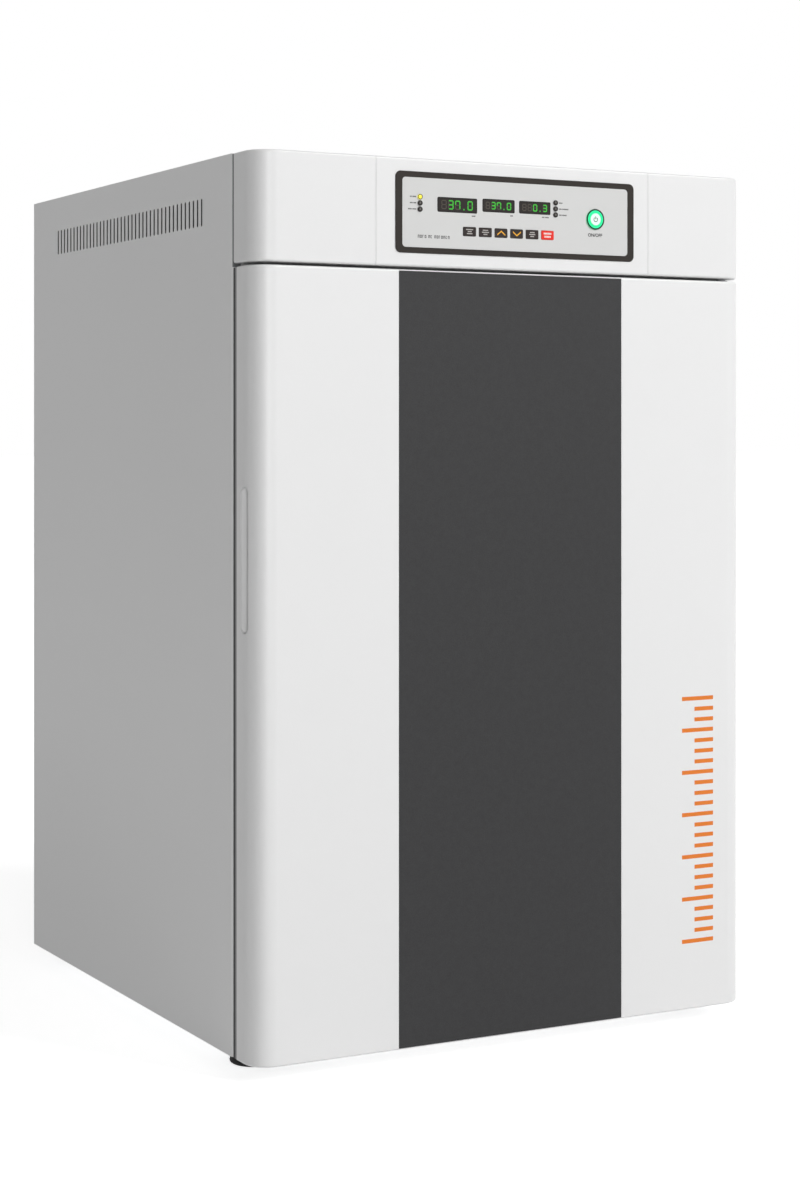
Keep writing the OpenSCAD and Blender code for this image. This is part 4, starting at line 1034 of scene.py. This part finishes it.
button = centre_of("power_button")
refine("power_button", cap_finish("cap_white", button.x, button.z, 5.6 * MM, 7.0 * MM), 0.15)
refine("power_button_ring", ring_light, 0.15)
ring_low, ring_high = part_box("power_button_ring")
radius = (ring_high.x - ring_low.x) / 2
symbol = arc_band(button.x, button.z - 0.2 * MM, 2.0 * MM, 2.65 * MM, 125, 415, 22)
symbol.append(bar(button.x, button.z + 1.7 * MM, 0.6 * MM, 2.9 * MM))
symbol_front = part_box("power_button")[0].y - PROUD
mark("power_symbol", symbol, symbol_front, 0.12 * MM, label_ink, "button_white", "power_cap")
outline = arc_band(button.x, button.z, radius - 1.5 * MM, radius + 0.1 * MM, 0, 360, 64)
mark("power_outline", outline, ring_low.y - PROUD, 0.5 * MM, outline_dark, "bezel_dark")
print("ring radius", round(radius / MM, 1), "mm")

# %% [markdown]
# ## The control plate and its labels
#
# The plate lies behind a dark frame, and its windows are dark glass. Rows of small blocks take the place of
# words, with the weight of print and nothing to read. Under the power button stands a plain ON/OFF.

# %% The control plate and its labels
refine("control_bezel", bezel_plastic, 0.45)
refine("control_overlay", plate_film, 0.1)
refine("displays", smoked_window, 0.15)
PRINT_HIGH = 1.3 * MM
TITLE_HIGH = 3.1 * MM
TITLE_STROKE = 0.6 * MM
LABEL_FRONT = PLATE - 0.04 * MM
labels = []
for (low, high), words in zip(lamps[:3], ((2, 4), (3, 3), (4, 4))):
    labels += word_blocks(low.x - 1.8 * MM, (low.z + high.z) / 2, PRINT_HIGH, words, True)
for (low, high), words in zip(lamps[3:], ((4,), (3, 7), (3, 5))):
    labels += word_blocks(high.x + 1.9 * MM, (low.z + high.z) / 2, PRINT_HIGH, words)
for (low, high), words in zip(displays, ((4,), (3,), (3, 4))):
    labels += word_blocks(high.x - 2.2 * MM, low.z - 2.9 * MM, PRINT_HIGH, words, True)
title_left = displays[0][0].x - 23 * MM
title_z = centre_of("key_1").z - 7.1 * MM
labels += word_blocks(title_left, title_z, TITLE_HIGH, (4, 2, 7), open_stroke=TITLE_STROKE)
mark("plate_labels", labels, LABEL_FRONT, 0.06 * MM, label_ink, "overlay_grey")
print("label blocks:", len(labels))

# %% [markdown]
# ## The letters under the power button
#
# ON/OFF is large enough to read, so it is set in a plain typeface. Text is a curve in Blender. It is turned
# into a mesh first and stood up afterwards, so that the piece itself stays unturned at the origin.

# %% The letters under the power button
CAPITAL_SHARE = 0.7
ON_OFF_HIGH = 3.5 * MM


def lettering(name, words, high, x, z, front, material):
    """Plain characters as a thin mesh, centred on x and standing on z, facing the front."""
    curve = bpy.data.curves.new(name, "FONT")
    curve.body = words
    curve.size = high / CAPITAL_SHARE
    curve.align_x = "CENTER"
    curve.extrude = 0.03 * MM
    curve.offset = high * 0.03
    writer = linked(name, curve)
    mesh = baked(writer)
    bpy.data.objects.remove(writer)
    mesh.transform(Matrix.Translation((x, front, z)) @ Matrix.Rotation(math.radians(90), 4, "X"))
    mesh.materials.clear()
    mesh.materials.append(material)
    return linked(name, mesh)


on_off_z = button.z - 18.6 * MM
on_off = lettering("power_marks", "ON/OFF", ON_OFF_HIGH, button.x, on_off_z, LABEL_FRONT, label_ink)
settle(on_off, "cabinet", "overlay_grey")
print("faces in the letters:", len(on_off.data.polygons))

# %% [markdown]
# ## The orange scale on the door
#
# Low on the right of the door stands an upright orange strip. A plain scale takes that place: long and
# short strokes of cut film at one pitch, as on a level gauge. One unit stroke is set out by the tree,
# stretched to each length.

# %% The orange scale on the door
SCALE_RIGHT = 256 * MM
SCALE_WIDE = 41.5 * MM
SCALE_FOOT = GROUND + 68 * MM
SCALE_HIGH = 277.5 * MM
STROKES = 24
SCALE_STROKE = 4.4 * MM
SHORT_SHARE = 0.6
scale_places = []
for i in range(STROKES):
    z = SCALE_FOOT + SCALE_HIGH * (i + 0.5) / STROKES
    long_stroke = i % 4 == 0 or i == STROKES - 1
    length = SCALE_WIDE if long_stroke else SCALE_WIDE * SHORT_SHARE
    scale_places.append(((SCALE_RIGHT - length / 2, FRONT - 0.08 * MM, z), (0, 0, 0), (length, 1, 1)))
unit_stroke = flat_piece("stroke", [bar(0, 0, 1, SCALE_STROKE)], 0, 0.12 * MM, orange_film)
settle(set_out("door_scale", unit_stroke, scale_places, orange_film), "door", "paint_white")
print("strokes:", STROKES)

# %% [markdown]
# ## A profile swept round a ring
#
# A second tree sweeps a profile along a ring. The ring lies flat while it is swept, because there the
# upward direction keeps the profile from twisting, and the result is stood up afterwards. Both the ring and
# the profile are plain closed lines of edges.

# %% A profile swept round a ring
def sweep_tree():
    """Sweeps a profile along a flat ring and stands the ring up, facing the front."""
    graph, given = start_tree("sweep", Profile="Object")
    profile = graph.node("GeometryNodeObjectInfo", out="Geometry", Object=given("Profile"))
    profile_line = graph.node("GeometryNodeMeshToCurve", Mesh=profile)
    route = graph.node("GeometryNodeMeshToCurve", Mesh=given("Geometry"))
    upright = graph.node("GeometryNodeSetCurveNormal", {"mode": "Z_UP"}, Curve=route)
    swept = graph.node("GeometryNodeCurveToMesh", Curve=upright, Profile_Curve=profile_line)
    stood = graph.node("GeometryNodeTransform", Geometry=swept, Rotation=(math.radians(90), 0, 0))
    return finish_tree(graph, given, stood)


def closed_line(name, points):
    """A mesh of edges through points and back to the first."""
    mesh = bpy.data.meshes.new(name)
    mesh.from_pydata(points, [(i, (i + 1) % len(points)) for i in range(len(points))], [])
    return linked(name, mesh)


def round_ring(left, right, foot, top, radius, steps):
    """Points of a rounded rectangle, anticlockwise, lying in x and y."""
    points = []
    for x, y, start in ((right - radius, foot + radius, -90), (right - radius, top - radius, 0),
                        (left + radius, top - radius, 90), (left + radius, foot + radius, 180)):
        for i in range(steps + 1):
            a = math.radians(start + 90 * i / steps)
            points.append((x + radius * math.cos(a), y + radius * math.sin(a), 0))
    return points


SWEEP = sweep_tree()
print("tree:", SWEEP.name, "with", len(SWEEP.nodes), "nodes")

# %% [markdown]
# ## The door seal
#
# Behind the door runs a magnetic seal: a flat foot in the lining, folded bellows, and a broad face that
# holds the magnet. It is one extrusion mitred into a frame, so its true shape is a profile swept round the
# door. The solid of the same size stays for the physics.

# %% The door seal
SEAL_PROFILE = [(0, 0), (16, 0), (16, 2.0), (13.4, 2.4), (11.4, 3.4), (13.6, 4.4), (12.2, 5.3),
                (13.6, 6.2), (13.6, 7.9), (2.4, 7.9), (2.4, 6.2), (3.8, 5.3), (2.4, 4.4), (4.6, 3.4),
                (2.6, 2.4), (0, 2.0)]
seal_low, seal_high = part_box("door_gasket")
half = SEAL_PROFILE[1][0] * MM / 2
route = closed_line("seal_route", round_ring(
    seal_low.x + half, seal_high.x - half, seal_low.z + half, seal_high.z - half, 30 * MM, 12))
profile = closed_line("seal_profile", [(u * MM - half, v * MM, 0) for u, v in SEAL_PROFILE])
seal = run_tree("door_seal", route, SWEEP, {"Profile": profile, "Finish": seal_rubber}, [profile])


def bring_to(piece, y_from):
    """Moves a mesh along y until its foremost point lies at y_from, and points its faces outwards."""
    lowest = min(vert.co.y for vert in piece.data.vertices)
    piece.data.transform(Matrix.Translation((0, y_from - lowest, 0)))
    work = bmesh.new()
    work.from_mesh(piece.data)
    bmesh.ops.recalc_face_normals(work, faces=work.faces)
    work.to_mesh(piece.data)
    work.free()


bring_to(seal, seal_low.y)
soften(seal, 0.25, 40)
settle(seal, "door", "seal_grey", "door_gasket")
seal_depth = max(v.co.y for v in seal.data.vertices) - min(v.co.y for v in seal.data.vertices)
print("seal depth", round(seal_depth / MM, 1), "mm of", round((seal_high.y - seal_low.y) / MM, 1))

# %% [markdown]
# ## The dark line round the door
#
# From the side a dark line separates the door from the cabinet, which is the shade in the gap. A dark strip
# just inside the rear edge of the door paints that shade, and a finer strip paints it in the joint behind
# the fascia. The door's strip stops short of the hinge, because there the edge of the door swings close
# past the cabinet.

# %% The dark line round the door
def strip(work, low, high):
    """Adds a box to a bmesh."""
    size = Vector(high) - Vector(low)
    middle = (Vector(high) + Vector(low)) / 2
    bmesh.ops.create_cube(work, size=1, matrix=Matrix.Translation(middle) @ Matrix.Diagonal((*size, 1)))


cabinet_low, cabinet_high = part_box("side_panel_left")
CABINET_FRONT = cabinet_low.y
SHADE_STRIP_WIDE = 2 * MM
INSET = 0.8 * MM
SHADE_STRIP_END = 280 * MM
GAP_SHADE_WIDE = 8 * MM
GAP_SHADE_PROUD = 0.5 * MM
shade_strip_back = CABINET_FRONT - 1 * MM
left = door_low.x + INSET
foot = door_low.z + INSET
top = door_high.z - INSET
# Painted shade: a dark strip just inside the rear edge of the door.
door_shade_work = bmesh.new()
strip(door_shade_work, (left, door_high.y, foot), (left + SHADE_STRIP_WIDE, shade_strip_back, top))
for z in (foot, top - SHADE_STRIP_WIDE):
    strip(door_shade_work, (left + SHADE_STRIP_WIDE, door_high.y, z), (SHADE_STRIP_END, shade_strip_back, z + SHADE_STRIP_WIDE))
settle(piece_from("door_lip", door_shade_work, lip_rubber), "door", "seal_grey")
fascia_low, fascia_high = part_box("fascia_end_left")
# Painted shade: a strip in the joint behind the fascia.
fascia_shade_work = bmesh.new()
for side in (-1, 1):
    near, far = sorted(side * (abs(fascia_low.x) - INSET - step) for step in (0, GAP_SHADE_WIDE))
    strip(fascia_shade_work, (near, CABINET_FRONT - GAP_SHADE_PROUD, door_high.z),
          (far, CABINET_FRONT + SHADE_STRIP_WIDE, fascia_high.z - INSET))
settle(piece_from("fascia_bead", fascia_shade_work, seal_rubber), "cabinet", "seal_grey")
print("lip from y =", round(door_high.y, 4), "to", round(shade_strip_back, 4))

# %% [markdown]
# ## The painted shade on the door's rear edge
#
# A grey band on the rear edge of the door's sides paints the shade of the gap there. It lies flush with
# the painted sheet, so it needs no piece of its own: the finished shell is cut along one plane, and the
# faces behind it take a second finish.

# %% The painted shade on the door's rear edge
SHADE_BAND = 3.2 * MM


def edge_rim(piece, plane_y, material):
    """Cuts a mesh across y and gives its outer side walls behind the cut another finish."""
    piece.data.materials.append(material)
    work = bmesh.new()
    work.from_mesh(piece.data)
    every = work.verts[:] + work.edges[:] + work.faces[:]
    bmesh.ops.bisect_plane(work, geom=every, plane_co=(0, plane_y, 0), plane_no=(0, 1, 0))
    for face in work.faces:
        if face.calc_center_median().y > plane_y and abs(face.normal.y) < 0.5:
            face.material_index = 1
    work.to_mesh(piece.data)
    work.free()


edge_rim(shell, door_high.y - SHADE_BAND, rim_rubber)
print("rim", round(SHADE_BAND / MM, 1), "mm wide")

# %% [markdown]
# ## Folds at the rear
#
# The top cover and the base pan are sheet, and such a sheet is folded over behind the rear panel, so that
# the panel has something to close against. The fold shows as a narrow white band above and below the panel.

# %% Folds at the rear
FOLD = 12 * MM
FOLD_END = 285 * MM
SHEET = 1.2 * MM
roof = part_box("top_cover")[1].z
fold_front = cabinet_high.y - SHEET
fold_back = cabinet_high.y - 0.05 * MM
fold_work = bmesh.new()
for low, high in ((roof - FOLD, roof - SHEET), (GROUND + SHEET, GROUND + FOLD)):
    strip(fold_work, (-FOLD_END, fold_front, low), (FOLD_END, fold_back, high))
settle(piece_from("rear_folds", fold_work, white_paint), "cabinet", "paint_white")
print("folds behind y =", round(fold_back, 4))

# %% [markdown]
# ## Screws at the rear
#
# Eight pan-head screws hold the rear panel. A real one has a cross recess, and the recess is what makes it
# read as a screw. One head is turned and cut once, then set out on the places of the solids, each turned to
# its own angle, as screws end up.

# %% Screws at the rear
HEAD_SIDES = 24
HEAD_RISE = 2.2 * MM
CROSS_LONG = 0.55
CROSS_NARROW = 0.12


def pan_head(radius, rise, shank):
    """A pan head with a cross recess that looks along +y. The cross is given in shares of the radius."""
    work = bmesh.new()
    loops = []
    for share, y in ((0.55, -shank), (0.55, 0.0), (1.0, 0.0), (1.0, rise * 0.35),
                     (0.86, rise * 0.8), (0.6, rise)):
        loops.append([work.verts.new((radius * share * math.cos(t), y, radius * share * math.sin(t)))
                      for t in (2 * math.pi * k / HEAD_SIDES for k in range(HEAD_SIDES))])
    for lower, upper in zip(loops, loops[1:]):
        for k in range(HEAD_SIDES):
            j = (k + 1) % HEAD_SIDES
            work.faces.new((lower[k], lower[j], upper[j], upper[k]))
    work.faces.new(loops[0])
    work.faces.new(loops[-1])
    bmesh.ops.recalc_face_normals(work, faces=work.faces)
    head = piece_from("pan_head", work, zinc)
    cut = bmesh.new()
    for wide, high in ((CROSS_LONG, CROSS_NARROW), (CROSS_NARROW, CROSS_LONG)):
        strip(cut, (-radius * wide, rise / 2, -radius * high), (radius * wide, rise * 1.5, radius * high))
    cross = piece_from("cross", cut, zinc)
    recess = head.modifiers.new("recess", "BOOLEAN")
    recess.object = cross
    recess.operation = "DIFFERENCE"
    recess.use_self = True
    mesh = baked(head)
    head.modifiers.clear()
    head.data = mesh
    bpy.data.objects.remove(cross)
    return head


screw_places = []
for i, (low, high) in enumerate(solids_in("rear_screws")):
    at = ((low.x + high.x) / 2, high.y - HEAD_RISE, (low.z + high.z) / 2)
    screw_places.append((at, (0, math.radians(17 + 53 * i), 0), (1, 1, 1)))
rear_screws = set_out("rear_panel_screws", pan_head(4.2 * MM, HEAD_RISE, 5 * MM), screw_places, zinc)
settle(rear_screws, "cabinet", "zinc_steel", "rear_screws")
print("screws:", len(screw_places))

# %% [markdown]
# ## The floor
#
# The object stands on a pale, endless floor. To the camera, and to mirror and glass rays, the floor adds
# light of its own, so that it is white where nothing shades it. It adds a little less near the object,
# where the lamps make up for it, so that the soft shadow under the object stays.

# %% The floor
LIFT_NEAR = 0.76
LIFT_FAR = 0.86
FLOOR_HALF = 60
floor_finish = bpy.data.materials.new("studio_floor")
floor_finish.use_nodes = True
ground = Graph(floor_finish.node_tree)
ground.tree.nodes.clear()
matt = ground.node("ShaderNodeBsdfDiffuse", Color=(0.8, 0.8, 0.8, 1))
place = ground.node("ShaderNodeTexCoord", out="Object")
reach = ground.node("ShaderNodeVectorMath", {"operation": "LENGTH"}, (place,), out="Value")
fade = ground.node("ShaderNodeMapRange", Value=reach, From_Min=0.5, From_Max=2.5,
                   To_Min=LIFT_NEAR, To_Max=LIFT_FAR)
glow = ground.node("ShaderNodeEmission", Strength=backdrop_rays(ground) * fade)
lit_floor = ground.node("ShaderNodeAddShader", slots=(matt, glow))
ground.node("ShaderNodeOutputMaterial", Surface=lit_floor)
floor_work = bmesh.new()
bmesh.ops.create_grid(floor_work, x_segments=1, y_segments=1, size=FLOOR_HALF)
piece_from("studio_floor", floor_work, floor_finish)
print("floor:", 2 * FLOOR_HALF, "m wide")
